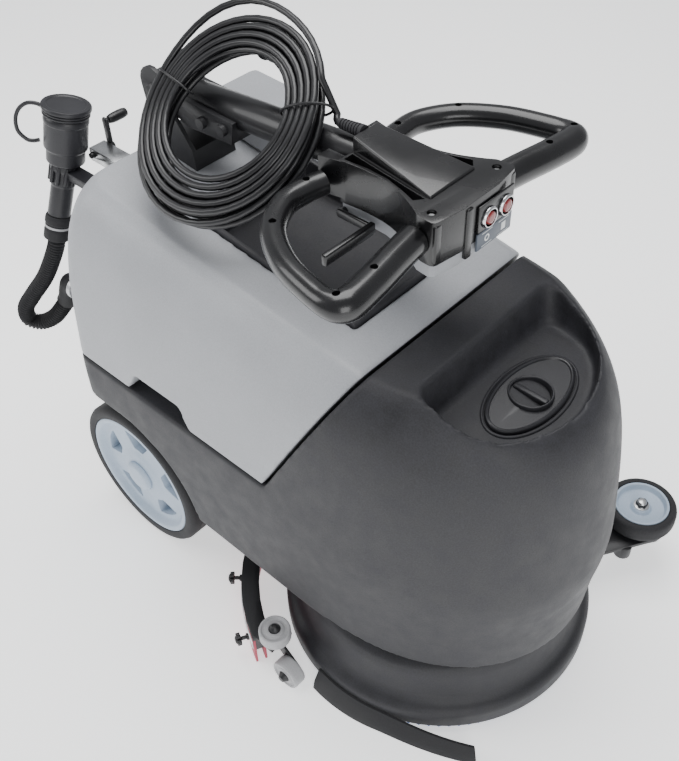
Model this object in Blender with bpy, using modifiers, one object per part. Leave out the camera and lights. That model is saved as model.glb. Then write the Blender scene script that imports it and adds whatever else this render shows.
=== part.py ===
"""Walk-behind floor scrubber with a power cord: handle folded forward over the recovery tank.

Metres, +Z up, +X towards the rounded nose, +Y to the machine's left, the floor at Z = 0.
The drawing starts with the rear axle over X = 0 and the middle of the machine at Y = 0;
the last lines move everything so that the middle of the footprint is at the origin.
"""
import math

import bmesh
import bpy
from mathutils import Matrix, Vector

# ---------------------------------------------------------------- driving sizes
GAP = 0.0003                # clearance between touching pieces

BODY_HALF_WIDTH = 0.2116    # half width of the black body at its widest
BODY_BOTTOM = 0.135         # lower rim of the black body
BODY_REAR = -0.092          # rear face of body and tank
NOSE_FRONT = 0.660          # front of the nose at its widest
TANK_SEAM = 0.345           # underside of the grey tank
TOP_REAR = 0.6205           # top of the grey tank at the rear face
TOP_FRONT = 0.557           # top of the grey tank at its front edge
SEAM_FOOT = 0.302           # where the sloping front seam starts, at the tank underside
SEAM_LEAN = 0.541           # forward lean of that seam per metre of height
SEAM_OPEN = 0.004           # open joint between grey tank and black body
TOP_EDGE_X = 0.4166         # front edge of the grey tank on top
NOSE_FALL_X = 0.475         # the nose top starts to fall here
NOSE_FALL = 0.32            # fall of the nose top per metre

WHEEL_D = 0.250             # rear wheel
WHEEL_WIDTH = 0.044
WHEEL_Y = 0.1864            # middle of the rear wheel
AXLE_D = 0.020

BRUSH_X = 0.429             # brush axis
DECK_R = 0.2265             # brush deck outer radius
DECK_TOP = 0.118
BRUSH_R = 0.212

SQUEEGEE_R = 0.285          # middle line of the squeegee, around the brush axis
SQUEEGEE_ANGLE = 66.0       # half opening of the squeegee arc, degrees
ROLLER_D = 0.046
ROLLER_WIDTH = 0.020

PIVOT_X, PIVOT_Z = -0.030, 0.700   # fold axis of the handle
POST_D = 0.042
POST_REAR = (0.000, 0.6900)         # axis of the handle tube: x and z at its rear end
POST_FRONT = (0.2935, 0.7120)       # and at the console
GRIP_Z = 0.702

SEGMENTS = 32

# ---------------------------------------------------------------- clean start
for old in list(bpy.data.objects):
    bpy.data.objects.remove(old, do_unlink=True)

PARTS = bpy.data.collections.new("floor_scrubber")
CUTTERS = bpy.data.collections.new("cutters")
bpy.context.scene.collection.children.link(PARTS)
bpy.context.scene.collection.children.link(CUTTERS)


# ---------------------------------------------------------------- materials
def material(name, colour, rough, metal=0.0):
    """One Principled material; the colour is linear RGB."""
    mat = bpy.data.materials.new(name)
    mat.use_nodes = True
    shader = mat.node_tree.nodes["Principled BSDF"]
    shader.inputs["Base Color"].default_value = (*colour, 1.0)
    shader.inputs["Roughness"].default_value = rough
    shader.inputs["Metallic"].default_value = metal
    mat.diffuse_color = (*colour, 1.0)
    return mat


BLACK_SHELL = material("black_moulded_plastic", (0.022, 0.022, 0.026), 0.62)
GREY_SHELL = material("grey_moulded_plastic", (0.36, 0.37, 0.39), 0.45)
BLACK_GLOSS = material("black_gloss_plastic", (0.02, 0.02, 0.022), 0.28)
CONSOLE_GREY = material("light_grey_plastic", (0.42, 0.43, 0.44), 0.45)
RUBBER = material("black_rubber", (0.015, 0.015, 0.016), 0.75)
RED_RUBBER = material("red_rubber", (0.45, 0.03, 0.07), 0.55)
RIM_BLUE = material("blue_grey_plastic", (0.40, 0.46, 0.55), 0.45)
ROLLER_GREY = material("pale_grey_plastic", (0.55, 0.55, 0.56), 0.5)
STEEL = material("zinc_plated_steel", (0.60, 0.60, 0.60), 0.32, 1.0)
BLACK_STEEL = material("black_painted_steel", (0.025, 0.025, 0.028), 0.45)
CORD = material("black_pvc_cord", (0.014, 0.014, 0.015), 0.5)
BRISTLE = material("blue_nylon_bristle", (0.03, 0.12, 0.40), 0.8)
BUTTON_RED = material("button_red", (0.30, 0.02, 0.02), 0.35)
PANEL = material("grey_label_plate", (0.25, 0.28, 0.33), 0.5)
WHITE = material("white_plastic", (0.80, 0.80, 0.80), 0.45)


# ---------------------------------------------------------------- shape helpers
def register(obj, name, mat, cutter=False):
    """Name the object, give it its material and put it in its collection."""
    obj.name = name
    obj.data.name = name
    for coll in list(obj.users_collection):
        coll.objects.unlink(obj)
    if cutter:
        CUTTERS.objects.link(obj)
        obj.display_type = "WIRE"
        obj.hide_render = True
    else:
        PARTS.objects.link(obj)
        obj.data.materials.clear()
        obj.data.materials.append(mat)
    return obj


def box(name, mat, x, y, z, bevel=0.0, cutter=False):
    """A box between the two ends given for each axis."""
    size = [x[1] - x[0], y[1] - y[0], z[1] - z[0]]
    middle = [(x[0] + x[1]) / 2, (y[0] + y[1]) / 2, (z[0] + z[1]) / 2]
    bpy.ops.mesh.primitive_cube_add(size=1.0, location=middle)
    obj = bpy.context.object
    obj.data.transform(Matrix.Diagonal((*size, 1.0)))
    register(obj, name, mat, cutter)
    if bevel:
        add_bevel(obj, bevel)
    return obj


def add_bevel(obj, width, segments=2, angle=40):
    mod = obj.modifiers.new("bevel", "BEVEL")
    mod.width = width
    mod.segments = segments
    mod.limit_method = "ANGLE"
    mod.angle_limit = math.radians(angle)


def rod(name, mat, start, end, radius, cutter=False, segments=SEGMENTS, top=None):
    """A cylinder (or cone, with its own top radius) between two points; origin at the middle."""
    start, end = Vector(start), Vector(end)
    along = end - start
    bpy.ops.mesh.primitive_cone_add(vertices=segments, radius1=radius,
                                    radius2=radius if top is None else top, depth=along.length)
    obj = bpy.context.object
    obj.data.transform(along.to_track_quat("Z", "Y").to_matrix().to_4x4())
    obj.location = (start + end) / 2
    return register(obj, name, mat, cutter)


def turned(name, mat, profile, centre, axis="Z", segments=SEGMENTS, cutter=False):
    """A closed profile of (radius, height) turned round an axis through the centre."""
    mesh = bpy.data.meshes.new(name)
    count = len(profile)
    area = sum(profile[i][0] * profile[(i + 1) % count][1] - profile[(i + 1) % count][0] * profile[i][1]
               for i in range(count))
    if area > 0:            # the outer side has to run downwards for the faces to point out
        profile = profile[::-1]
    mesh.from_pydata([(r, 0.0, h) for r, h in profile], [(i, (i + 1) % count) for i in range(count)], [])
    obj = bpy.data.objects.new(name, mesh)
    bpy.context.scene.collection.objects.link(obj)
    screw = obj.modifiers.new("turn", "SCREW")
    screw.steps = screw.render_steps = segments
    screw.use_merge_vertices = True
    screw.merge_threshold = 0.0001
    if axis == "Y":
        obj.rotation_euler = (math.radians(-90), 0, 0)
    if axis == "X":
        obj.rotation_euler = (0, math.radians(90), 0)
    obj.location = centre
    return register(obj, name, mat, cutter)


def plate(name, mat, outline, y, cutter=False, bevel=0.0):
    """A flat outline of (x, z) corners given a thickness between two Y values."""
    mesh = bpy.data.meshes.new(name)
    middle = (y[0] + y[1]) / 2
    mesh.from_pydata([(px, middle, pz) for px, pz in outline], [], [list(range(len(outline)))])
    obj = bpy.data.objects.new(name, mesh)
    bpy.context.scene.collection.objects.link(obj)
    thick = obj.modifiers.new("thickness", "SOLIDIFY")
    thick.thickness = abs(y[1] - y[0])
    thick.offset = 0.0
    register(obj, name, mat, cutter)
    if bevel:
        add_bevel(obj, bevel)
    return obj


def loft(name, mat, rings, cutter=False):
    """A solid through rings of equal point count, closed at both ends."""
    count = len(rings[0])
    points = [p for ring in rings for p in ring]
    faces = []
    for level in range(len(rings) - 1):
        low, high = level * count, (level + 1) * count
        for i in range(count):
            j = (i + 1) % count
            faces.append((low + i, low + j, high + j, high + i))
    faces.append(tuple(range(count - 1, -1, -1)))
    faces.append(tuple((len(rings) - 1) * count + i for i in range(count)))
    mesh = bpy.data.meshes.new(name)
    mesh.from_pydata(points, [], faces)
    work = bmesh.new()
    work.from_mesh(mesh)
    bmesh.ops.recalc_face_normals(work, faces=work.faces)
    work.to_mesh(mesh)
    work.free()
    obj = bpy.data.objects.new(name, mesh)
    bpy.context.scene.collection.objects.link(obj)
    return register(obj, name, mat, cutter)


def arc_band(name, mat, radii, heights, half_angle, segments=20):
    """A band of rectangular section that follows the squeegee arc behind the brush."""
    rings = []
    for i in range(segments + 1):
        turn = math.radians(180.0 - half_angle + 2.0 * half_angle * i / segments)
        ring = []
        for r, h in ((radii[0], heights[0]), (radii[1], heights[0]),
                     (radii[1], heights[1]), (radii[0], heights[1])):
            ring.append((BRUSH_X + r * math.cos(turn), r * math.sin(turn), h))
        rings.append(ring)
    return loft(name, mat, rings)


def tube(name, mat, points, radius, radii=None, resolution=3, caps=True):
    """A round tube along a polyline, made a mesh so that it is one closed skin."""
    data = bpy.data.curves.new(name, "CURVE")
    data.dimensions = "3D"
    data.bevel_depth = radius
    data.bevel_resolution = resolution
    data.use_fill_caps = caps
    data.twist_mode = "MINIMUM"
    line = data.splines.new("POLY")
    line.points.add(len(points) - 1)
    for i, p in enumerate(points):
        line.points[i].co = (*p, 1.0)
        line.points[i].radius = 1.0 if radii is None else radii[i]
    holder = bpy.data.objects.new(name + "_path", data)
    bpy.context.scene.collection.objects.link(holder)
    bpy.context.view_layer.update()
    mesh = bpy.data.meshes.new_from_object(holder)
    bpy.data.objects.remove(holder, do_unlink=True)
    work = bmesh.new()
    work.from_mesh(mesh)
    bmesh.ops.remove_doubles(work, verts=work.verts, dist=0.00005)
    bmesh.ops.recalc_face_normals(work, faces=work.faces)
    work.to_mesh(mesh)
    work.free()
    obj = bpy.data.objects.new(name, mesh)
    bpy.context.scene.collection.objects.link(obj)
    return register(obj, name, mat)


def smooth_path(knots, count):
    """Points along a Catmull-Rom curve through the knots."""
    knots = [Vector(k) for k in knots]
    ends = [2 * knots[0] - knots[1]] + knots + [2 * knots[-1] - knots[-2]]
    spans = len(knots) - 1
    out = []
    for i in range(count + 1):
        t = i / count * spans
        k = min(int(t), spans - 1)
        f = t - k
        a, b, c, d = ends[k:k + 4]
        out.append(0.5 * ((2 * b) + (c - a) * f + (2 * a - 5 * b + 4 * c - d) * f * f
                          + (3 * b - a - 3 * c + d) * f * f * f))
    return [tuple(p) for p in out]


def combine(obj, other, operation):
    mod = obj.modifiers.new(operation.lower(), "BOOLEAN")
    mod.operation = operation
    mod.object = other
    mod.solver = "EXACT"


def cut(obj, other):
    combine(obj, other, "DIFFERENCE")


def join(obj, other):
    combine(obj, other, "UNION")


def set_origin(obj, point):
    """Move the object's origin to a point without moving the piece."""
    shift = Vector(point) - obj.location
    obj.data.transform(Matrix.Translation(-shift))
    obj.location = point


# ---------------------------------------------------------------- the moulded body shape
def top_height(x):
    """Height of the top surface of tank and nose at x."""
    if x < TOP_EDGE_X:
        return TOP_FRONT + (TOP_REAR - TOP_FRONT) * (TOP_EDGE_X - x) / (TOP_EDGE_X - BODY_REAR)
    if x < NOSE_FALL_X:
        return TOP_FRONT
    return TOP_FRONT - NOSE_FALL * (x - NOSE_FALL_X)


def body_outline(half_width, rear, front, corner=0.035, straight=0.300):
    """Plan outline: rounded rear corners, straight sides, rounded nose."""
    right = []
    for i in range(5):
        a = math.radians(90.0 * i / 4)
        right.append((rear + corner - corner * math.cos(a), -(half_width - corner + corner * math.sin(a))))
    for x in (0.03, 0.14, 0.22):
        right.append((x, -half_width))
    steps = 12
    for i in range(steps + 1):
        a = math.radians(90.0 * i / steps)
        u, v = math.sin(a) ** (2.0 / 3.0), math.cos(a)
        right.append((straight + (front - straight) * u, -half_width * v if i < steps else 0.0))
    left = [(x, -y) for x, y in reversed(right[:-1])]
    return right + left


def body_loft(name, inset=0.0, cutter=False, low=BODY_BOTTOM):
    """The outer shape shared by body and tank; each level follows the sloping top."""
    levels = ((0.0, -0.004, -0.014), (0.18, -0.001, -0.008), (0.36, 0.0, 0.0), (0.50, -0.003, -0.003),
              (0.70, -0.010, -0.010), (0.84, -0.021, -0.018), (0.93, -0.036, -0.028),
              (0.98, -0.052, -0.040), (1.0, -0.066, -0.052))
    rings = []
    for share, side, nose in levels:
        outline = body_outline(BODY_HALF_WIDTH + side - inset, BODY_REAR + inset - side * 0.6,
                               NOSE_FRONT + nose - inset)
        ring = []
        for px, py in outline:
            top = top_height(px) - inset
            ring.append((px, py, low + (top - low) * share))
        rings.append(ring)
    return loft(name, BLACK_SHELL, rings, cutter)


def seam_x(z, offset=0.0):
    return SEAM_FOOT + SEAM_LEAN * (z - TANK_SEAM) + offset


def tank_block(name, grow):
    """The space behind and above the sloping seam; grown by the open joint for the body cut."""
    low, high = TANK_SEAM - grow, 0.75
    lean = grow * math.hypot(1.0, SEAM_LEAN)
    outline = [(-0.3, low), (seam_x(low, lean), low), (seam_x(high, lean), high), (-0.3, high)]
    return plate(name, None, outline, (-0.35, 0.35), cutter=True)


# ---------------------------------------------------------------- black lower body
TRAY_REAR, TRAY_FRONT, TRAY_HALF = 0.475, 0.604, 0.124
TRAY_FLOOR_REAR, TRAY_FLOOR_X, TRAY_FLOOR_FALL = 0.508, 0.489, 0.12
FILL_X, FILL_HALF_X, FILL_HALF_Y = 0.542, 0.0362, 0.0723


def tray_floor(x):
    return TRAY_FLOOR_REAR - TRAY_FLOOR_FALL * (x - TRAY_FLOOR_X)


def tray_outline(rear, front, half, corner=0.018):
    """D-shaped outline: straight at the back, bowed at the front."""
    right = [(rear, -half + corner), (rear + corner * 0.3, -half + corner * 0.3)]
    steps = 10
    for i in range(steps + 1):
        a = math.radians(90.0 * i / steps)
        u, v = math.sin(a) ** 0.75, math.cos(a) ** 1.1 if i < steps else 0.0
        right.append((rear + corner + (front - rear - corner) * u, -half * v))
    left = [(x, -y) for x, y in reversed(right[:-1])]
    return right + left


def oval_ring(cx, half_x, half_y, z_of, count=32):
    return [(cx + half_x * math.cos(2 * math.pi * i / count), half_y * math.sin(2 * math.pi * i / count),
             z_of(cx + half_x * math.cos(2 * math.pi * i / count))) for i in range(count)]


def lower_body():
    body = body_loft("lower_body")
    cut(body, tank_block("cut_tank_space", SEAM_OPEN))
    # tray recess on the nose, with its sloping floor
    floor = [(x, y, tray_floor(x)) for x, y in tray_outline(0.487, 0.599, 0.113)]
    rim = [(x, y, 0.60) for x, y in tray_outline(TRAY_REAR - 0.013, TRAY_FRONT + 0.006, TRAY_HALF + 0.011)]
    cut(body, loft("cut_tray", None, [floor, rim], cutter=True))
    # solution tank inside the nose and its oval filling mouth
    low = [(x, y, 0.318) for x, y in tray_outline(0.345, 0.640, 0.180, 0.03)]
    high = [(x, y, 0.470) for x, y in tray_outline(0.425, 0.615, 0.150, 0.03)]
    cut(body, loft("cut_solution_tank", None, [low, high], cutter=True))
    mouth = [oval_ring(FILL_X, 0.029, 0.062, lambda x, h=h: h) for h in (0.455, 0.540)]
    cut(body, loft("cut_filling_mouth", None, mouth, cutter=True))
    # open underside that holds frame, motor and brush deck
    rings = []
    for h, side in ((0.10, 0.014), (0.30, 0.016)):
        rings.append([(x, y, h) for x, y in body_outline(BODY_HALF_WIDTH - side, BODY_REAR + 0.014,
                                                         NOSE_FRONT - side - 0.008)])
    cut(body, loft("cut_underside", None, rings, cutter=True))
    # wheel arches and the raised rear skirt
    for side, label in ((-1, "right"), (1, "left")):
        arch = rod("cut_arch_" + label, None, (0.0, side * 0.150, WHEEL_D / 2),
                   (0.0, side * 0.260, WHEEL_D / 2), WHEEL_D / 2 + 0.017, cutter=True, segments=48)
        cut(body, arch)
    cut(body, box("cut_rear_skirt", None, (-0.20, 0.02), (-0.30, 0.30), (0.05, 0.285 - 0.02), cutter=True))
    # suction passage from the squeegee hose up to the recovery tank
    cut(body, rod("cut_suction", None, (SUCTION_X, 0, 0.28), (SUCTION_X, 0, 0.36), 0.018, cutter=True))
    return body


SUCTION_X = 0.155


# ---------------------------------------------------------------- grey recovery tank
LID_X = (0.100, 0.362)
LID_HALF = 0.096
LID_LOW = 0.536
COVER_X, COVER_Y = (-0.045, 0.095), (0.052, 0.142)


def recovery_tank():
    tank = body_loft("recovery_tank")
    tank.data.materials.clear()
    tank.data.materials.append(GREY_SHELL)
    combine(tank, tank_block("keep_tank_space", 0.0), "INTERSECT")
    # seat for the black lid, the opening below it and the water space
    cut(tank, box("cut_lid_seat", None, (LID_X[0] - GAP, LID_X[1] + GAP), (-LID_HALF - GAP, LID_HALF + GAP),
                  (LID_LOW - GAP, 0.70), cutter=True))
    cut(tank, box("cut_tank_mouth", None, (0.120, 0.342), (-0.078, 0.078), (0.500, 0.560), cutter=True))
    cut(tank, box("cut_water_space", None, (BODY_REAR + 0.026, 0.290), (-0.165, 0.165), (0.358, 0.520),
                  cutter=True))
    # hand notch in the lower edge of each side
    for side, label in ((-1, "right"), (1, "left")):
        notch = plate("cut_hand_notch_" + label, None,
                      [(0.022, 0.330), (0.056, 0.376), (0.146, 0.376), (0.166, 0.330)],
                      (side * 0.174, side * 0.260), cutter=True)
        cut(tank, notch)
    # pocket for the vacuum motor
    cut(tank, rod("cut_motor_pocket", None, (0.025, 0.097, 0.545), (0.025, 0.097, 0.70), 0.040, cutter=True))
    # standpipe for the dirty water and the outlet at the lower right rear corner
    join(tank, rod("add_standpipe", None, (SUCTION_X, 0, 0.350), (SUCTION_X, 0, 0.480), 0.021, cutter=True,
                   segments=24))
    cut(tank, rod("cut_standpipe", None, (SUCTION_X, 0, 0.330), (SUCTION_X, 0, 0.500), 0.018, cutter=True,
                  segments=24))
    join(tank, rod("add_outlet", None, (-0.1460, PORT_Y, PORT_Z), (-0.090, PORT_Y, PORT_Z), 0.0107,
                   cutter=True, segments=24))
    cut(tank, rod("cut_outlet", None, (-0.20, PORT_Y, PORT_Z), (-0.060, PORT_Y, PORT_Z), 0.0080, cutter=True,
                  segments=24))
    return tank


PORT_Y, PORT_Z = -0.150, 0.392


def tank_lid():
    """Black sunk lid between the grip and the tank, with ribs across its floor."""
    x0, x1 = LID_X
    high0, high1 = top_height(x0) + 0.003, top_height(x1) + 0.003
    lid = plate("tank_lid", BLACK_SHELL, [(x0, LID_LOW), (x1, LID_LOW), (x1, high1), (x0, high0)],
                (-LID_HALF, LID_HALF))
    wall = 0.009
    cut(lid, plate("cut_lid_basin", None,
                   [(x0 + wall, LID_LOW + 0.020), (x1 - wall, LID_LOW + 0.010),
                    (x1 - wall, 0.66), (x0 + wall, 0.66)], (-LID_HALF + wall, LID_HALF - wall), cutter=True))
    return lid


def vacuum_parts():
    """Raised grey cover on the left of the tank top and the suction motor below it."""
    x0, x1 = COVER_X
    low0, low1 = top_height(x0) + 2 * GAP, top_height(x1) + 2 * GAP
    cover = plate("vacuum_cover", GREY_SHELL, [(x0, low0), (x1, low1), (x1, 0.642), (x1 - 0.012, 0.654),
                                               (x0 + 0.014, 0.660), (x0, 0.648)], COVER_Y, bevel=0.008)
    cut(cover, rod("cut_cover_hollow", None, (0.025, 0.097, 0.560), (0.025, 0.097, 0.648), 0.040,
                   cutter=True))
    rod("vacuum_motor", BLACK_STEEL, (0.025, 0.097, 0.5453), (0.025, 0.097, 0.640), 0.036)
    return cover


# ---------------------------------------------------------------- frame, axle and rear wheels
def frame_parts():
    base = box("chassis_plate", BLACK_STEEL, (BODY_REAR + 0.022, 0.545), (-0.130, 0.130), (0.1363, 0.1423))
    cut(base, rod("cut_motor_hole", None, (BRUSH_X, 0, 0.10), (BRUSH_X, 0, 0.18), 0.066, cutter=True))
    cut(base, rod("cut_hose_hole", None, (SUCTION_X, 0, 0.10), (SUCTION_X, 0, 0.18), 0.026, cutter=True))
    for i, (px, py) in enumerate(((0.310, -0.080), (0.310, 0.080), (0.530, -0.060), (0.530, 0.060))):
        join(base, rod("add_post_%d" % i, None, (px, py, DECK_TOP + GAP), (px, py, 0.139), 0.009,
                       cutter=True, segments=16))
    for side, label in ((-1, "right"), (1, "left")):
        lug = box("add_lug_" + label, None, (ARM_X - 0.016, ARM_X + 0.016),
                  (side * 0.060 - 0.004, side * 0.060 + 0.004), (ARM_Z - 0.012, 0.139), cutter=True)
        join(base, lug)
        saddle = box("add_saddle_" + label, None, (-0.022, 0.022),
                     (side * 0.110 - 0.010, side * 0.110 + 0.010), (0.108, 0.139), cutter=True)
        join(base, saddle)
        cut(base, rod("cut_saddle_" + label, None, (0, side * 0.095, WHEEL_D / 2),
                      (0, side * 0.125, WHEEL_D / 2), AXLE_D / 2 + GAP, cutter=True, segments=24))
    join(base, rod("add_arm_pin", None, (ARM_X, -0.0625, ARM_Z), (ARM_X, 0.0625, ARM_Z), 0.004, cutter=True,
                   segments=16))
    rod("rear_axle", STEEL, (0, -0.200, WHEEL_D / 2), (0, 0.200, WHEEL_D / 2), AXLE_D / 2, segments=24)


def rear_wheel(label, side):
    """Black tyre and a five-spoke rim, both turning on the fixed axle."""
    r, w = WHEEL_D / 2, WHEEL_WIDTH / 2
    centre = (0.0, side * WHEEL_Y, r)
    seat, dish, hub = r - 0.018, r - 0.033, 0.030
    turned("tyre_" + label, RUBBER,
           [(seat, -w + 0.002), (r - 0.007, -w), (r - 0.002, -w + 0.006), (r, -w + 0.012), (r, w - 0.012),
            (r - 0.002, w - 0.006), (r - 0.007, w), (seat, w - 0.002)], centre, axis="Y", segments=36)
    bore = AXLE_D / 2 + GAP
    rim = turned("rim_" + label, RIM_BLUE,
                 [(bore, -w + 0.004), (hub, -w + 0.004), (hub + 0.004, -w + 0.016),
                  (dish - 0.004, -w + 0.016),
                  (dish, -w + 0.001), (seat - GAP, -w + 0.001), (seat - GAP, w - 0.001), (dish, w - 0.001),
                  (dish - 0.004, w - 0.016), (hub + 0.004, w - 0.016), (hub, w - 0.004), (bore, w - 0.004)],
                 centre, axis="Y", segments=36)
    pitch = (hub + dish) / 2 + 0.003
    for i in range(5):
        a = 2 * math.pi * (i + 0.237) / 5
        px, pz = pitch * math.cos(a), pitch * math.sin(a)
        hole = rod("cut_rim_%s_%d" % (label, i), None, (px, side * WHEEL_Y - 0.03, r + pz),
                   (px, side * WHEEL_Y + 0.0301, r + pz), (dish - hub) * 0.30, cutter=True, segments=14)
        cut(rim, hole)


# ---------------------------------------------------------------- brush deck, motor and brush
def brush_parts():
    deck = turned("brush_deck", BLACK_SHELL,
                  [(0.050, DECK_TOP), (0.186, DECK_TOP), (0.198, 0.108), (0.204, 0.080), (0.208, 0.060),
                   (0.221, 0.046), (DECK_R, 0.036), (DECK_R, 0.014), (0.2195, 0.014), (0.2195, 0.033),
                   (0.214, 0.041), (0.202, 0.055), (0.1975, 0.080), (0.192, 0.103), (0.182, 0.111),
                   (0.050, 0.111)], (BRUSH_X, 0, 0), segments=44)
    turned("brush_motor", BLACK_STEEL, [(0.0, 0.288), (0.050, 0.288), (0.050, 0.170), (0.062, 0.165),
                                        (0.062, DECK_TOP + GAP), (0.0, DECK_TOP + GAP)], (BRUSH_X, 0, 0))
    turned("drive_flange", STEEL, [(0.0, 0.1177), (0.0125, 0.1177), (0.0125, 0.078), (0.045, 0.078),
                                   (0.045, 0.0643), (0.0, 0.0643)], (BRUSH_X, 0, 0))
    turned("brush_disc", BLACK_STEEL, [(0.0, 0.064), (0.186, 0.064), (0.194, 0.060), (0.194, 0.0503),
                                       (0.0, 0.0503)], (BRUSH_X, 0, 0), segments=40)
    turned("brush_bristles", BRISTLE, [(0.075, 0.050), (0.192, 0.050), (BRUSH_R, 0.0), (0.068, 0.0)],
           (BRUSH_X, 0, 0), segments=40)
    return deck


def splash_strip():
    """Rubber strip on the right of the deck: hugs the rim, then runs out straight to a point."""
    rings = []
    steps = 18
    for i in range(steps + 1):
        t = i / steps
        a = math.radians(-97.0 + 57.0 * t)
        out = max(0.0, t - 0.45)
        away = 0.085 * out ** 1.6
        tall = 0.036 - 0.014 * t
        ring = []
        for r, h in ((0.2395, 0.0), (0.2430, 0.0), (0.2305, tall), (0.2270, tall)):
            ring.append((BRUSH_X + (r + away) * math.cos(a), (r + away) * math.sin(a), h + 0.0005))
        rings.append(ring)
    return loft("splash_strip", RUBBER, rings)


# ---------------------------------------------------------------- squeegee behind the brush
ARM_X, ARM_Z = 0.066, 0.112
KNOB_ANGLES = (222.0, 242.0)
END_ANGLE = 180.0 + SQUEEGEE_ANGLE


def on_arc(r, degrees, z):
    return (BRUSH_X + r * math.cos(math.radians(degrees)), r * math.sin(math.radians(degrees)), z)


def squeegee_parts():
    """Curved frame, two rubber blades, the band that holds them, hand knobs and the hose."""
    frame = arc_band("squeegee_frame", BLACK_STEEL, (0.266, 0.2925), (0.058, 0.063), SQUEEGEE_ANGLE)
    rail = arc_band("add_squeegee_rail", None, (0.2785, 0.2885), (0.030, 0.060), SQUEEGEE_ANGLE - 0.4)
    register(rail, "add_squeegee_rail", None, cutter=True)
    join(frame, rail)
    for side, label in ((-1, "right"), (1, "left")):
        # cheek that carries the two rollers at each end
        x, y = WALL_ROLLER
        ear = box("add_ear_" + label, None, (x - 0.026, x + 0.012),
                  (min(side * 0.222, side * 0.262), max(side * 0.222, side * 0.262)),
                  (0.0575, 0.0635), cutter=True)
        join(frame, ear)
    arc_band("blade_rear", RED_RUBBER, (0.2888, 0.2923), (0.0005, 0.0557), SQUEEGEE_ANGLE - 0.2)
    arc_band("blade_front", RED_RUBBER, (0.2747, 0.2782), (0.0005, 0.0557), SQUEEGEE_ANGLE - 0.2)
    arc_band("blade_band", STEEL, (0.2926, 0.2941), (0.034, 0.050), SQUEEGEE_ANGLE - 0.6)
    for side, label in ((1, "right"), (-1, "left")):
        for i, angle in enumerate(KNOB_ANGLES):
            a = angle if side == 1 else 360.0 - angle
            name = "knob_%s_%d" % (label, i + 1)
            knob = rod(name, RUBBER, on_arc(0.2944, a, 0.042), on_arc(0.3060, a, 0.042), 0.003, segments=12)
            head = rod("add_" + name, None, on_arc(0.3050, a, 0.042), on_arc(0.3130, a, 0.042), 0.0100,
                       cutter=True, segments=12)
            join(knob, head)
    # suction spigot on the middle of the frame
    join(frame, rod("add_spigot", None, (SUCTION_X, 0, 0.060), (SUCTION_X, 0, 0.100), 0.0140, cutter=True,
                    segments=24))
    cut(frame, rod("cut_spigot", None, (SUCTION_X, 0, 0.050), (SUCTION_X, 0, 0.120), 0.0110, cutter=True,
                   segments=24))
    turned("suction_hose", RUBBER, [(0.0180, 0.080), (0.0215, 0.080), (0.0215, 0.2997), (0.0180, 0.2997)],
           (SUCTION_X, 0, 0), segments=24)
    return frame


WALL_ROLLER = (0.331, 0.2425)
FLOOR_ROLLER = (0.366, 0.254)


def squeegee_arm():
    """Two side plates and a cross tube that swing the squeegee up; pin through the frame lugs."""
    outline = [(ARM_X - 0.010, ARM_Z - 0.006), (ARM_X - 0.004, ARM_Z - 0.010), (0.120, 0.0665),
               (0.175, 0.0633), (0.175, 0.0700), (0.130, 0.0800), (ARM_X + 0.010, ARM_Z + 0.006),
               (ARM_X, ARM_Z + 0.010), (ARM_X - 0.008, ARM_Z + 0.007)]
    arm = plate("squeegee_arm", BLACK_STEEL, outline, (-0.044, -0.038))
    other = plate("add_arm_left", None, outline, (0.038, 0.044), cutter=True)
    join(arm, other)
    join(arm, rod("add_arm_tube", None, (ARM_X, -0.0555, ARM_Z), (ARM_X, 0.0555, ARM_Z), 0.0075,
                  cutter=True, segments=20))
    cut(arm, rod("cut_arm_bore", None, (ARM_X, -0.07, ARM_Z), (ARM_X, 0.07, ARM_Z), 0.004 + GAP,
                 cutter=True, segments=16))
    set_origin(arm, (ARM_X, 0, ARM_Z))


def end_rollers(frame, label, side):
    x, y = WALL_ROLLER
    half = ROLLER_WIDTH / 2
    r = ROLLER_D / 2
    mid = 0.0638 + half
    turned("wall_roller_" + label, ROLLER_GREY,
           [(0.0063, -half), (r - 0.002, -half), (r, -half + 0.003), (r, half - 0.003), (r - 0.002, half),
            (0.0063, half)], (x, side * y, mid), segments=28)
    join(frame, rod("add_wall_stud_" + label, None, (x, side * y, 0.060), (x, side * y, mid + half + 0.003),
                    0.006, cutter=True, segments=16))
    join(frame, rod("add_wall_nut_" + label, None, (x, side * y, mid + half + GAP),
                    (x, side * y, mid + half + 0.007), 0.009, cutter=True, segments=16, top=0.004))
    fx, fy = FLOOR_ROLLER
    turned("floor_roller_" + label, ROLLER_GREY,
           [(0.0063, -half), (r - 0.002, -half), (r, -half + 0.003), (r, half - 0.003), (r - 0.002, half),
            (0.0063, half)], (fx, side * fy, r + 0.0005), axis="Y", segments=28)


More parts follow.
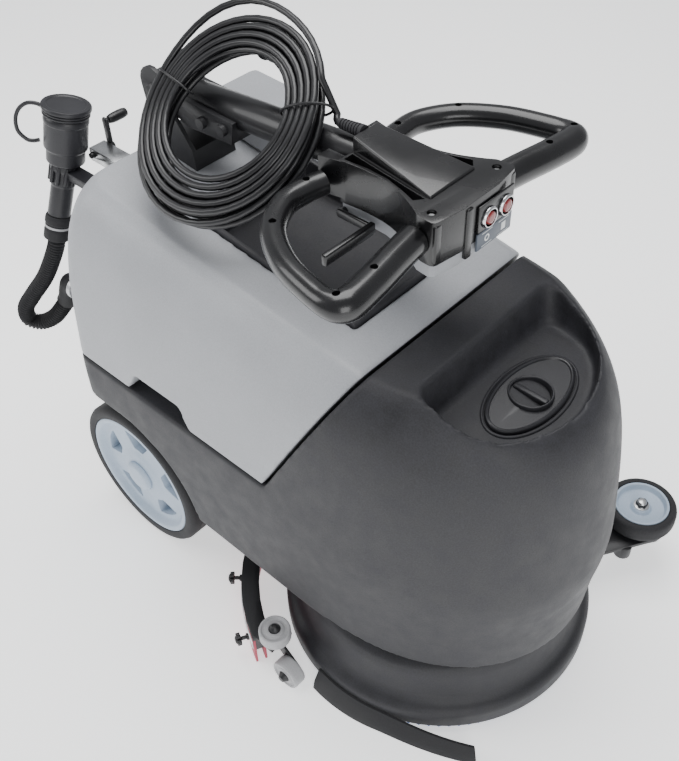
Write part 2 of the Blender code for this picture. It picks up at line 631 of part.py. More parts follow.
def roller_forks(frame, label, side):
    """Bent steel strap from the squeegee end to the floor roller, with its axle."""
    fx, fy = FLOOR_ROLLER
    x, y = WALL_ROLLER
    half = ROLLER_WIDTH / 2
    inner = side * (fy - half - 0.0043)
    strap = plate("add_roller_strap_" + label, None,
                  [(x - 0.020, 0.0495), (x - 0.020, 0.0590), (x + 0.010, 0.0590), (fx + 0.008, 0.030),
                   (fx + 0.008, 0.017), (fx - 0.008, 0.017), (x - 0.002, 0.0495)],
                  (inner, inner + side * 0.004), cutter=True)
    join(frame, strap)
    axle = rod("add_roller_axle_" + label, None, (fx, inner, ROLLER_D / 2 + 0.0005),
               (fx, side * (fy + half + 0.002), ROLLER_D / 2 + 0.0005), 0.006, cutter=True, segments=16)
    join(frame, axle)
    join(frame, rod("add_roller_nut_" + label, None, (fx, side * (fy + half + GAP), ROLLER_D / 2 + 0.0005),
                    (fx, side * (fy + half + 0.007), ROLLER_D / 2 + 0.0005), 0.009, cutter=True,
                    segments=16, top=0.005))


# ---------------------------------------------------------------- bumper wheel at the left front
BUMPER = (0.607, 0.2675)
BUMPER_R = 0.053


def bumper_parts():
    x, y = BUMPER
    outline = [(0.5490, 0.1780), (0.5750, 0.1560), (0.5990, 0.1690)]
    for i in range(9):
        a = math.radians(-45.0 + 180.0 * i / 8)
        outline.append((x + 0.046 * math.cos(a), y + 0.046 * math.sin(a)))
    outline.append((0.5560, 0.2620))
    arm = loft("bumper_arm", BLACK_STEEL, [[(px, py, h) for px, py in outline] for h in (0.0715, 0.0775)])
    cut(arm, rod("cut_bumper_arm", None, (BRUSH_X, 0, 0.03), (BRUSH_X, 0, 0.118), 0.2105, cutter=True,
                 segments=56))
    join(arm, rod("add_bumper_boss", None, (x, y, 0.072), (x, y, 0.0812), 0.016, cutter=True, segments=20))
    join(arm, rod("add_bumper_stud", None, (x, y, 0.074), (x, y, 0.1125), 0.006, cutter=True, segments=16))
    foot = (0.5605, 0.1730)
    join(arm, rod("add_bumper_post", None, (*foot, 0.074), (*foot, BODY_BOTTOM - GAP), 0.012, cutter=True,
                  segments=16))
    turned("bumper_tyre", RUBBER, [(0.0410, -0.014), (BUMPER_R - 0.004, -0.016), (BUMPER_R, -0.010),
                                   (BUMPER_R, 0.010), (BUMPER_R - 0.004, 0.016), (0.0410, 0.014)],
           (x, y, 0.0978), segments=36)
    turned("bumper_hub", RIM_BLUE, [(0.0063, -0.016), (0.014, -0.016), (0.016, -0.004), (0.034, -0.004),
                                    (0.036, -0.0135), (0.0407, -0.0135), (0.0407, 0.0150), (0.036, 0.0150),
                                    (0.034, 0.006), (0.016, 0.006), (0.014, 0.0098), (0.0063, 0.0098)],
           (x, y, 0.0978), segments=36)
    join(arm, rod("add_bumper_head", None, (x, y, 0.1080), (x, y, 0.1150), 0.0090, cutter=True, segments=6))
    join(arm, rod("add_guide_foot", None, (0.616, 0.214, 0.052), (0.616, 0.214, 0.0730), 0.0125, cutter=True,
                  segments=20))


# ---------------------------------------------------------------- filling cap on the nose tray
def fill_cap():
    low = oval_ring(FILL_X, FILL_HALF_X, FILL_HALF_Y, lambda x: tray_floor(x) + GAP)
    mid = oval_ring(FILL_X, FILL_HALF_X, FILL_HALF_Y, lambda x: tray_floor(x) + 0.004)
    high = oval_ring(FILL_X, FILL_HALF_X - 0.003, FILL_HALF_Y - 0.003, lambda x: tray_floor(x) + 0.0065)
    cap = loft("fill_cap", BLACK_SHELL, [low, mid, high])
    skirt = [oval_ring(FILL_X, 0.0275, 0.0605, lambda x, h=h: tray_floor(x) + h) for h in (-0.014, 0.002)]
    join(cap, loft("add_cap_skirt", None, skirt, cutter=True))
    top = tray_floor(FILL_X)
    cut(cap, rod("cut_cap_grip", None, (FILL_X, 0, top - 0.010), (FILL_X, 0, top + 0.02), 0.0235,
                 cutter=True))
    bar = box("add_cap_bar", None, (FILL_X - 0.0238, FILL_X + 0.0238), (-0.004, 0.004),
              (top - 0.011, top + 0.0055), cutter=True)
    join(cap, bar)
    return cap


# ---------------------------------------------------------------- drain hose at the right rear corner
SPOUT_TOP = (-0.153, -0.090, 0.660)
SPOUT_FOOT = (-0.159, -0.108, 0.580)
PIPE_FOOT = (-0.164, -0.136, 0.505)
CUFF_FOOT = (-0.166, -0.148, 0.470)
ELBOW_FOOT = (-0.1760, -0.1560, 0.3520)
ELBOW_RISE = (-0.1716, -0.1522, 0.3610)


def between(a, b, t):
    return tuple(Vector(a).lerp(Vector(b), t))


def drain_parts():
    body = rod("drain_spout", BLACK_SHELL, SPOUT_FOOT, between(SPOUT_FOOT, SPOUT_TOP, 0.82), 0.0262)
    join(body, rod("add_spout_cup", None, between(SPOUT_FOOT, SPOUT_TOP, 0.24),
                   between(SPOUT_FOOT, SPOUT_TOP, 0.82), 0.0298, cutter=True))
    cut(body, rod("cut_spout_bore", None, between(SPOUT_FOOT, SPOUT_TOP, 0.25), SPOUT_TOP, 0.0155,
                  cutter=True, segments=20))
    along = (Vector(SPOUT_TOP) - Vector(SPOUT_FOOT)).normalized()
    seat = Vector(between(SPOUT_FOOT, SPOUT_TOP, 0.82)) + along * GAP
    cap = rod("drain_cap", BLACK_SHELL, seat, SPOUT_TOP, 0.0335, segments=36)
    out = Vector((-0.7071, -0.7071, 0.0))
    out = (out - along * out.dot(along)).normalized()
    knots = [seat + out * far + along * up for far, up in
             ((0.0300, 0.0060), (0.0400, 0.0090), (0.0520, 0.0070), (0.0620, -0.0030), (0.0660, -0.0180),
              (0.0630, -0.0340), (0.0520, -0.0440), (0.0430, -0.0450), (0.0348, -0.0425))]
    pull = tube("add_cap_ring", None, smooth_path([tuple(k) for k in knots], 18), 0.0028, resolution=2)
    join(cap, register(pull, "add_cap_ring", None, cutter=True))
    join(body, rod("add_drain_pipe", None, PIPE_FOOT, between(PIPE_FOOT, SPOUT_FOOT, 1.10), 0.0160,
                   cutter=True, segments=24))
    join(body, box("add_drain_clip", None, (-0.165, BODY_REAR + 0.0140), (-0.122, -0.098), (0.560, 0.574),
                   cutter=True))
    rod("drain_cuff", RUBBER, CUFF_FOOT, between(CUFF_FOOT, PIPE_FOOT, 0.985), 0.0185, segments=24)
    # the hose leaves the cuff in line with it, loops out behind the machine and meets the elbow squarely
    start = [between(CUFF_FOOT, PIPE_FOOT, -0.012)]
    loop = [between(CUFF_FOOT, PIPE_FOOT, -0.30), (-0.173, -0.159, 0.438), (-0.188, -0.172, 0.402),
            (-0.208, -0.189, 0.368), (-0.222, -0.200, 0.342), (-0.224, -0.199, 0.318),
            (-0.211, -0.187, 0.311), (-0.194, -0.172, 0.322), between(ELBOW_FOOT, ELBOW_RISE, -0.80)]
    tube("drain_hose", RUBBER, start + smooth_path(loop, 36) + [between(ELBOW_FOOT, ELBOW_RISE, -0.04)],
         0.0125, resolution=2)
    bend = [ELBOW_RISE, (-0.1665, PORT_Y, 0.380), (-0.1590, PORT_Y, PORT_Z), (-0.1550, PORT_Y, PORT_Z)]
    tube("drain_elbow", RUBBER, [ELBOW_FOOT] + smooth_path(bend, 8) + [(-0.1464, PORT_Y, PORT_Z)], 0.0150,
         resolution=3)
    turned("hose_clamp", STEEL, [(0.0113, -0.004), (0.0178, -0.004), (0.0178, 0.004), (0.0113, 0.004)],
           (-0.1418, PORT_Y, PORT_Z), axis="X", segments=24)


# ---------------------------------------------------------------- lifting crank at the rear
CRANK = (-0.134, -0.064, 0.585)


def crank_parts():
    x, y, z = CRANK
    base = box("crank_bracket", STEEL, (x - 0.008, BODY_REAR + 0.0170), (y - 0.0145, y + 0.012),
               (z - 0.012, z + 0.008))
    cut(base, rod("cut_crank_bore", None, (x, y - 0.03, z), (x, y + 0.03, z), 0.0043, cutter=True,
                  segments=16))
    arm = rod("crank_arm", BLACK_STEEL, (x, y + 0.0125, z), (x, y + 0.0185, z), 0.008, segments=20)
    join(arm, rod("add_crank_shaft", None, (x, y - 0.020, z), (x, y + 0.014, z), 0.004, cutter=True,
                  segments=16))
    join(arm, box("add_crank_web", None, (x - 0.005, x + 0.005), (y + 0.0128, y + 0.0182), (z, z + 0.040),
                  cutter=True))
    join(arm, rod("add_crank_stud", None, (x, y + 0.0130, z + 0.038), (x, y + 0.052, z + 0.038), 0.003,
                  cutter=True, segments=12))
    set_origin(arm, CRANK)
    turned("crank_knob", RUBBER, [(0.0033, 0.0), (0.0050, 0.0), (0.0070, 0.008), (0.0070, 0.026),
                                  (0.0055, 0.031), (0.0033, 0.031)],
           (x, y + 0.0505, z + 0.038), axis="Y", segments=20)


# ---------------------------------------------------------------- folding handle
def post_point(t, lift=0.0):
    return (POST_REAR[0] + (POST_FRONT[0] - POST_REAR[0]) * t, 0.0,
            POST_REAR[1] + (POST_FRONT[1] - POST_REAR[1]) * t + lift)


def handle_bracket():
    """Two cheeks on a sloping foot that carry the fold bolt."""
    foot = BODY_REAR + 0.046
    outline = [(foot, top_height(foot) + GAP), (0.034, top_height(0.034) + GAP), (0.030, 0.634)]
    for i in range(11):
        a = math.radians(-35.0 + 230.0 * i / 10)
        outline.append((PIVOT_X - 0.0025 + 0.0225 * math.cos(a), PIVOT_Z + 0.006 + 0.0225 * math.sin(a)))
    outline.append((foot + 0.002, 0.640))
    bracket = plate("handle_bracket", BLACK_STEEL, outline, (-0.0345, 0.0345))
    cut(bracket, box("cut_bracket_slot", None, (-0.12, 0.05), (-0.0282, 0.0282), (0.632, 0.75), cutter=True))
    join(bracket, rod("add_fold_bolt", None, (PIVOT_X, -0.0400, PIVOT_Z), (PIVOT_X, 0.0400, PIVOT_Z), 0.005,
                      cutter=True, segments=16))
    for side, label in ((-1, "right"), (1, "left")):
        join(bracket, rod("add_fold_head_" + label, None, (PIVOT_X, side * 0.0330, PIVOT_Z),
                          (PIVOT_X, side * 0.0410, PIVOT_Z), 0.0085, cutter=True, segments=6))
    return bracket


def handle_knuckle():
    outline = []
    for i in range(11):
        a = math.radians(90.0 + 190.0 * i / 10)
        outline.append((PIVOT_X + 0.020 * math.cos(a), PIVOT_Z + 0.020 * math.sin(a)))
    outline += [(0.020, 0.662), (0.102, 0.667), (0.108, 0.697), (-0.002, 0.7000)]
    knuckle = plate("handle_knuckle", BLACK_STEEL, outline, (-0.0279, 0.0279))
    cut(knuckle, rod("cut_knuckle_socket", None, post_point(-0.012), post_point(0.6), POST_D / 2 + GAP,
                     cutter=True))
    cut(knuckle, rod("cut_knuckle_bore", None, (PIVOT_X, -0.05, PIVOT_Z), (PIVOT_X, 0.05, PIVOT_Z), 0.0053,
                     cutter=True, segments=16))
    set_origin(knuckle, (PIVOT_X, 0, PIVOT_Z))
    for i, (px, pz) in enumerate(((0.052, 0.6800), (0.0900, 0.6835))):
        join(knuckle, rod("add_knuckle_bolt_%d" % i, None, (px, -0.0260, pz), (px, -0.0345, pz), 0.0075,
                          cutter=True, segments=12))


def handle_post():
    rod("handle_post", BLACK_GLOSS, post_point(0.0), post_point(1.0), POST_D / 2)


CONSOLE_X = (0.345, 0.450)
CONSOLE_HALF = 0.070
CONSOLE_Z = (0.6765, 0.7300)


def console_parts():
    x0, x1 = CONSOLE_X
    z0, z1 = CONSOLE_Z
    side = [(0.2955, 0.0420), (0.330, 0.0395), (0.360, 0.0410), (0.385, 0.0475), (0.408, 0.0580),
            (0.424, 0.0670), (x1 - 0.006, 0.0690), (x1 - 0.001, 0.0640), (x1 + 0.004, 0.0300)]

    def ring(h, inset):
        right = [(px + (inset if px < 0.3 else -inset if px > x1 - 0.01 else 0), -(py - inset), h)
                 for px, py in side]
        return right + [(px, -py, pz) for px, py, pz in reversed(right)]

    body = loft("console_body", BLACK_GLOSS, [ring(z0, 0.0), ring(z1, 0.0)])
    for turn, label in ((-1, "right"), (1, "left")):
        # rib that runs back beside the tube, and the hollow between it and the hood
        join(body, loft("add_rib_" + label, None,
                        [[(0.2700, turn * 0.0300, h), (0.2700, turn * 0.0490, h), (0.300, turn * 0.0415, h),
                          (0.300, turn * 0.0300, h)][::turn] for h in (z0 + 0.006, z1 - 0.001)], cutter=True))
        cut(body, loft("cut_hollow_" + label, None,
                       [[(0.2990, turn * 0.0235, h), (0.2990, turn * 0.0375, h), (0.330, turn * 0.0350, h),
                         (0.360, turn * 0.0365, h), (0.385, turn * 0.0430, h), (0.405, turn * 0.0500, h),
                         (0.413, turn * 0.0400, h)][::turn] for h in (z1 - 0.012, z1 + 0.03)], cutter=True))
    hood = [[(0.2955, -0.0210, 0.7160), (0.2955, 0.0210, 0.7160), (0.418, 0.0380, 0.7160),
             (0.418, -0.0380, 0.7160)],
            [(0.2955, -0.0200, 0.7490), (0.2955, 0.0200, 0.7490), (0.418, 0.0375, 0.7325),
             (0.418, -0.0375, 0.7325)]]
    join(body, loft("add_console_hood", None, hood, cutter=True))
    base = loft("console_base", CONSOLE_GREY, [ring(0.6580, 0.004), ring(0.6600, 0.002),
                                               ring(z0 - GAP, 0.002)])
    cut(base, rod("cut_lever_bore", None, (LEVER_X, -0.08, LEVER_Z), (LEVER_X, 0.08, LEVER_Z),
                  0.0045 + GAP, cutter=True, segments=16))
    panel = box("button_panel", PANEL, (x1 + 0.0043, x1 + 0.0073), (-0.006, 0.055), (0.6640, 0.7200))
    for i, y in enumerate(BUTTON_Y):
        join(panel, rod("add_bezel_%d" % i, None, (x1 + 0.0060, y, BUTTON_Z), (x1 + 0.0108, y, BUTTON_Z),
                        0.0125, cutter=True, segments=28, top=0.0105))
        cut(panel, rod("cut_panel_%d" % i, None, (x1 - 0.02, y, BUTTON_Z), (x1 + 0.03, y, BUTTON_Z), 0.0098,
                       cutter=True, segments=20))
        cut(body, rod("cut_console_%d" % i, None, (x1 - 0.010, y, BUTTON_Z), (x1 + 0.03, y, BUTTON_Z), 0.0098,
                      cutter=True, segments=20))
    for label, y in zip(("start", "stop"), BUTTON_Y):
        rod("button_" + label, BUTTON_RED, (x1 - 0.004, y, BUTTON_Z), (x1 + 0.0120, y, BUTTON_Z), 0.0077,
            segments=24)


BUTTON_Y = (0.011, 0.040)
BUTTON_Z = 0.7010


def grip_parts(label, side):
    """D-shaped hand loop and the lever inside it."""
    knots = [(0.2825, 0.0545), (0.2785, 0.0760), (0.2800, 0.1130), (0.3060, 0.1540), (0.3520, 0.1840),
             (0.4000, 0.1980), (0.4300, 0.2010), (0.4420, 0.1900), (0.4390, 0.1550), (0.4310, 0.1100),
             (0.4250, 0.0728)]
    knots = [(x, side * y, GRIP_Z) for x, y in knots]
    path = smooth_path(knots, 34)
    radii = []
    for i in range(len(path)):
        t = i / (len(path) - 1)
        radii.append(0.84 + 0.20 * min(1.0, max(0.0, (t - 0.55) / 0.15)))
    tube("grip_loop_" + label, BLACK_GLOSS, path, 0.0170, radii, resolution=3)
    lever = box("lever_" + label, BLACK_GLOSS, (0.3430, 0.3510),
                (min(side * 0.0445, side * 0.125), max(side * 0.0445, side * 0.125)), (0.6600, 0.6750))
    join(lever, box("add_lever_arm_" + label, None, (0.296, 0.350),
                    (min(side * 0.0440, side * 0.0500), max(side * 0.0440, side * 0.0500)),
                    (0.6605, 0.6715), cutter=True))
    join(lever, rod("add_lever_pin_" + label, None, (LEVER_X, side * 0.0250, LEVER_Z),
                    (LEVER_X, side * 0.0500, LEVER_Z), 0.0045, cutter=True, segments=16))
    set_origin(lever, (LEVER_X, side * 0.060, LEVER_Z))


LEVER_X, LEVER_Z = 0.300, 0.6660


# ---------------------------------------------------------------- power cord
COIL_MID = (0.126, -0.049, 0.7175)
COIL_TILT = 40.0
COIL_R, COIL_HALF_WIDE, COIL_HALF_THICK = 0.107, 0.032, 0.0145


def cord_parts():
    rod("cord_gland", RUBBER, (0.2950, 0, 0.7445), (0.2580, 0, 0.7425), 0.0075, segments=20, top=0.0062)
    lead = [(0.2576, 0, 0.74248), (0.2555, 0, 0.74236), (0.2525, 0.0020, 0.7430), (0.2500, 0.0065, 0.7465)]
    tube("cord_lead", CORD, lead, 0.0042, resolution=2)
    profile = []
    for i in range(12):
        a = 2 * math.pi * i / 12
        profile.append((COIL_R + COIL_HALF_WIDE * math.cos(a), COIL_HALF_THICK * math.sin(a)))
    coil = turned("cord_coil", CORD, profile, COIL_MID, segments=40)
    coil.rotation_euler = (math.radians(COIL_TILT), 0, 0)


# ---------------------------------------------------------------- assembly
lower_body()
recovery_tank()
tank_lid()
vacuum_parts()
frame_parts()
for side_name, side_sign in (("right", -1), ("left", 1)):
    rear_wheel(side_name, side_sign)
brush_parts()
splash_strip()
squeegee = squeegee_parts()
for side_name, side_sign in (("right", -1), ("left", 1)):
    end_rollers(squeegee, side_name, side_sign)
    roller_forks(squeegee, side_name, side_sign)
squeegee_arm()
bumper_parts()
fill_cap()
drain_parts()
crank_parts()
handle_bracket()
handle_knuckle()
handle_post()
console_parts()
for side_name, side_sign in (("right", -1), ("left", 1)):
    grip_parts(side_name, side_sign)
cord_parts()

# ---------------------------------------------------------------- footprint centred on the origin
bpy.context.view_layer.update()
ON_CORD = ("cord_gland", "cord_lead", "cord_coil")
ends = []
sight = bpy.context.evaluated_depsgraph_get()
for part in PARTS.objects:
    if part.name not in ON_CORD:
        shaped = part.evaluated_get(sight)
        ends += [part.matrix_world @ v.co for v in shaped.data.vertices]
shift = Vector(((min(p.x for p in ends) + max(p.x for p in ends)) / 2,
                (min(p.y for p in ends) + max(p.y for p in ends)) / 2, min(p.z for p in ends)))
for part in list(PARTS.objects) + list(CUTTERS.objects):
    part.location -= shift
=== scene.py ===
"""Looks of a walk-behind floor scrubber with its handle folded forward over the recovery tank."""
import math

import bmesh
import bpy
from mathutils import Matrix, Vector


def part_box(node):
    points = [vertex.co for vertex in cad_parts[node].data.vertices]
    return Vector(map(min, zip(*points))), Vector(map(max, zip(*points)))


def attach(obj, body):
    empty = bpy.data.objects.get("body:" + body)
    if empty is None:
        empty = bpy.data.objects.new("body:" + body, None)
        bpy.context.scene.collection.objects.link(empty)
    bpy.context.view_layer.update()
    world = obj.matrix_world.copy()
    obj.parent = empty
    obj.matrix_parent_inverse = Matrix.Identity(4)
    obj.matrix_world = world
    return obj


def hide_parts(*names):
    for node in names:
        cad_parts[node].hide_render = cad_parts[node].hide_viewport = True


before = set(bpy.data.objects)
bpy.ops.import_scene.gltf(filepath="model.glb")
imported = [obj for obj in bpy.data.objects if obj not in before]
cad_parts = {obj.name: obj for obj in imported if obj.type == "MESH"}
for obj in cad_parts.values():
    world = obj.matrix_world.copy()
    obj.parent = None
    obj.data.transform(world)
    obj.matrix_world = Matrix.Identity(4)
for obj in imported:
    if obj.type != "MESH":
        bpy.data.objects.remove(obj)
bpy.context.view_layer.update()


# ================================================================ camera, floor and light
# A photo studio: pale seamless floor, one large soft light overhead and two weaker ones at the sides.
# Everything is placed from the rear axle, whose middle is x = 0, y = 0 of the machine's own drawing.
AXLE_LOW, AXLE_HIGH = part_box("rear_axle")
AXLE_X, AXLE_Y = (AXLE_LOW.x + AXLE_HIGH.x) / 2, (AXLE_LOW.y + AXLE_HIGH.y) / 2


def at(x, y, z):
    """A point of the machine's drawing in the shared frame."""
    return Vector((x + AXLE_X, y + AXLE_Y, z))


def colour(code):
    """sRGB hex to linear RGBA."""
    parts = [int(code[i:i + 2], 16) / 255 for i in (1, 3, 5)]
    return (*[p / 12.92 if p <= 0.04045 else ((p + 0.055) / 1.055) ** 2.4 for p in parts], 1.0)


def blank_material(name, base, rough, metal=0.0):
    """A Principled material with its shader; patterns are linked to it afterwards."""
    mat = bpy.data.materials.new(name)
    mat.use_nodes = True
    shader = mat.node_tree.nodes["Principled BSDF"]
    shader.inputs["Base Color"].default_value = colour(base)
    shader.inputs["Roughness"].default_value = rough
    shader.inputs["Metallic"].default_value = metal
    return mat, mat.node_tree, shader


def clear():
    """Nothing selected and object mode, as before every new primitive."""
    if bpy.context.object and bpy.context.object.mode != "OBJECT":
        bpy.ops.object.mode_set(mode="OBJECT")
    for other in list(bpy.context.selected_objects):
        other.select_set(False)


CAMERA_PLACE = at(0.9385, -0.7149, 1.3040)
CAMERA_RIGHT = Vector((0.73574, 0.67661, -0.02955))
CAMERA_UP = Vector((-0.45621, 0.52739, 0.71675))
camera_data = bpy.data.cameras.new("studio_camera")
camera_data.lens = 47.10
camera_data.sensor_width = 36.0
camera = bpy.data.objects.new("studio_camera", camera_data)
bpy.context.scene.collection.objects.link(camera)
turn = Matrix((CAMERA_RIGHT, CAMERA_UP, CAMERA_RIGHT.cross(CAMERA_UP))).transposed()
camera.matrix_world = Matrix.Translation(CAMERA_PLACE) @ turn.to_4x4()
bpy.context.scene.camera = camera

clear()
bpy.ops.mesh.primitive_plane_add(size=14.0, location=(0, 0, 0))
floor = bpy.context.object
floor.name = "studio_floor"
paper = blank_material("seamless_paper_white", "#F6F6F5", 0.9)[0]
paper.node_tree.nodes["Principled BSDF"].inputs["Emission Color"].default_value = colour("#F4F5F6")
paper.node_tree.nodes["Principled BSDF"].inputs["Emission Strength"].default_value = 1.00
floor.data.materials.append(paper)

world = bpy.context.scene.world or bpy.data.worlds.new("studio")
bpy.context.scene.world = world
world.use_nodes = True
world.node_tree.nodes["Background"].inputs["Color"].default_value = colour("#F4F6FA")
world.node_tree.nodes["Background"].inputs["Strength"].default_value = 0.50


def soft_light(name, place, aim, size, power):
    """A square white studio light that points at its aim."""
    data = bpy.data.lights.new(name, "AREA")
    data.size = size
    data.energy = power
    lamp = bpy.data.objects.new(name, data)
    bpy.context.scene.collection.objects.link(lamp)
    lamp.location = place
    lamp.rotation_euler = (Vector(aim) - Vector(place)).to_track_quat("-Z", "Y").to_euler()


soft_light("overhead", (-0.3, 0.3, 2.6), (0.0, 0.0, 0.4), 1.8, 62)
soft_light("front_right", (2.2, -1.4, 1.2), (0.2, 0.0, 0.3), 1.4, 26)
soft_light("left_rear", (-1.8, -1.6, 1.7), (-0.1, 0.0, 0.4), 1.2, 20)


# ================================================================ power cord, ties, gland and plug
# About 8.8 m of black PVC mains cord of 8.5 mm, wound by hand into a loose coil that hangs over the
# handle tube, held by two ties, with a moulded plug on its end and a ribbed gland on the console.
CORD_D = 0.0085


def node(tree, kind, settings=None, links=None, values=None):
    """Add one node: its settings by attribute, its values and links by socket name or number."""
    new = tree.nodes.new(kind)
    for key, value in (settings or {}).items():
        setattr(new, key, value)
    for key, value in (values or {}).items():
        new.inputs[key].default_value = value
    for key, source in (links or {}).items():
        tree.links.new(source, new.inputs[key])
    return new


def speckled(name, dark, light, rough, grain_mm, height_mm, metal=0.0, blotch_mm=60.0, coat=0.0):
    """Surface with a fine grain in relief and a slow change of tone, both in real millimetres."""
    mat, tree, shader = blank_material(name, dark, rough[0], metal)
    place = node(tree, "ShaderNodeTexCoord")
    slow = node(tree, "ShaderNodeTexNoise", None, {"Vector": place.outputs["Object"]},
                {"Scale": 1000.0 / blotch_mm, "Detail": 4.0, "Roughness": 0.6})
    fine = node(tree, "ShaderNodeTexNoise", None, {"Vector": place.outputs["Object"]},
                {"Scale": 1000.0 / grain_mm, "Detail": 2.0, "Roughness": 0.5})
    both = node(tree, "ShaderNodeMath", {"operation": "MULTIPLY_ADD"},
                {0: slow.outputs["Fac"], 2: fine.outputs["Fac"]}, {1: 1.0})
    span = node(tree, "ShaderNodeMapRange", None, {"Value": both.outputs[0]},
                {"From Min": 0.7, "From Max": 1.3})
    tone = node(tree, "ShaderNodeMix", {"data_type": "RGBA"}, {"Factor": span.outputs[0]},
                {6: colour(dark), 7: colour(light)})
    shine = node(tree, "ShaderNodeMapRange", None, {"Value": slow.outputs["Fac"]},
                 {"From Min": 0.3, "From Max": 0.7, "To Min": rough[0], "To Max": rough[1]})
    relief = node(tree, "ShaderNodeBump", None, {"Height": fine.outputs["Fac"]},
                  {"Strength": 0.6, "Distance": height_mm / 1000.0})
    tree.links.new(tone.outputs[2], shader.inputs["Base Color"])
    tree.links.new(shine.outputs[0], shader.inputs["Roughness"])
    tree.links.new(relief.outputs["Normal"], shader.inputs["Normal"])
    shader.inputs["Coat Weight"].default_value = coat
    return mat


# extruded PVC: a smooth jacket with a soft gloss; the ties are a little duller
PVC = speckled("pvc_cord_black", "#0E0E10", "#1A1A1D", (0.30, 0.42), 1.2, 0.05, coat=0.15)
NYLON_TIE = speckled("nylon_tie_black", "#101012", "#1B1B1E", (0.35, 0.45), 2.0, 0.02)
COIL_LOW, COIL_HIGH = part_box("cord_coil")
COIL_MID = (COIL_LOW + COIL_HIGH) / 2
COIL_TILT = math.radians(40.0)
COIL_U = Vector((1, 0, 0))
COIL_V = Vector((0, math.cos(COIL_TILT), math.sin(COIL_TILT)))
COIL_N = COIL_U.cross(COIL_V)
TURN_POINTS = 44


def on_coil(angle, radius, height, slide):
    """A point of the coil: round its middle, then up its axis and slid sideways."""
    return (COIL_MID + COIL_U * (radius * math.cos(angle) + slide[0])
            + COIL_V * (radius * math.sin(angle) + slide[1]) + COIL_N * height)


# each layer of turns lies a cord's width below the last one and a little aside of it
LAYERS = ((0.0098, (0.000, 0.007), 0.1270, -1, 5.0), (0.0000, (-0.006, -0.004), 0.0880, 1, 4.0),
          (-0.0098, (0.004, -0.002), 0.1265, -1, 4.0))
GLAND_TIP = at(0.2576, 0.0, 0.74248)
route = [GLAND_TIP, at(0.2555, 0.0, 0.74236), at(0.2522, 0.0022, 0.7432), at(0.2490, 0.0070, 0.7462)]
angle = math.radians(38.0)
last = None
for layer, (height, slide, start, way, turns) in enumerate(LAYERS):
    count = int(turns * TURN_POINTS)
    for i in range(count):
        share = i / TURN_POINTS
        here = angle + 2 * math.pi * share
        radius = start + way * 0.0092 * share
        # the turns are pinched at the two ties and spread between them
        spread = 1.0 + 0.10 * math.cos(2.0 * (here - math.radians(98.0)))
        radius = 0.107 + (radius - 0.107) * spread
        if layer == 0:
            # one turn of the upper layer bows out
            bulge = max(0.0, math.cos(here - math.radians(119.0))) ** 6
            radius += 0.021 * bulge * max(0.0, 1.0 - abs(share - 0.4) * 1.6)
        goal = (radius, height + 0.0008 * math.sin(3.1 * here + layer), slide[0], slide[1])
        if last is None:
            last = goal
        ease = min(1.0, i / (TURN_POINTS * 0.35)) if layer else 1.0
        ease = ease * ease * (3 - 2 * ease)
        mixed = [a + (b - a) * ease for a, b in zip(last, goal)]
        route.append(on_coil(here, mixed[0], mixed[1], (mixed[2], mixed[3])))
    last = goal
    angle = here + 2 * math.pi / TURN_POINTS
# the last end dips below the coil and stops in the plug, which hangs under the turns
for i in range(1, 8):
    dip = (i / 7.0) ** 2 * (3 - 2 * i / 7.0)
    route.append(on_coil(angle, last[0] + (0.103 - last[0]) * dip, last[1] - 0.0185 * dip, last[2:]))
    angle += 2 * math.pi / TURN_POINTS


def round_line(name, points, radius, resolution, closed=False):
    """A round line through the points, as a curve object."""
    data = bpy.data.curves.new(name, "CURVE")
    data.dimensions = "3D"
    data.bevel_depth = radius
    data.bevel_resolution = resolution
    data.use_fill_caps = not closed
    line = data.splines.new("POLY")
    line.points.add(len(points) - 1)
    line.use_smooth = True
    line.use_cyclic_u = closed
    for point, place in zip(line.points, points):
        point.co = (*place, 1.0)
    obj = bpy.data.objects.new(name, data)
    bpy.context.scene.collection.objects.link(obj)
    return obj


power_cord = round_line("power_cord", route, CORD_D / 2, 3)
power_cord.data.materials.append(PVC)
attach(power_cord, "handle")
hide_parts("cord_coil", "cord_lead")


def only(obj):
    """This object alone selected and active."""
    clear()
    bpy.context.view_layer.objects.active = obj
    obj.select_set(True)


def settle(obj):
    """Modifiers applied and the place put into the mesh, so the object sits at the origin."""
    only(obj)
    for mod in list(obj.modifiers):
        bpy.ops.object.modifier_apply(modifier=mod.name)
    bpy.ops.object.transform_apply(location=True, rotation=True, scale=True)


def finish(obj, name, mat, body, nodes=(), angle=35.0):
    """Name the piece, smooth it up to an angle, give it its material and body, and hide the CAD nodes it
    replaces.
    """
    settle(obj)
    bpy.ops.object.shade_smooth_by_angle(angle=math.radians(angle))
    obj.name = name
    obj.data.name = name
    obj.data.materials.clear()
    obj.data.materials.append(mat)
    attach(obj, body)
    if nodes:
        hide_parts(*nodes)
    return obj


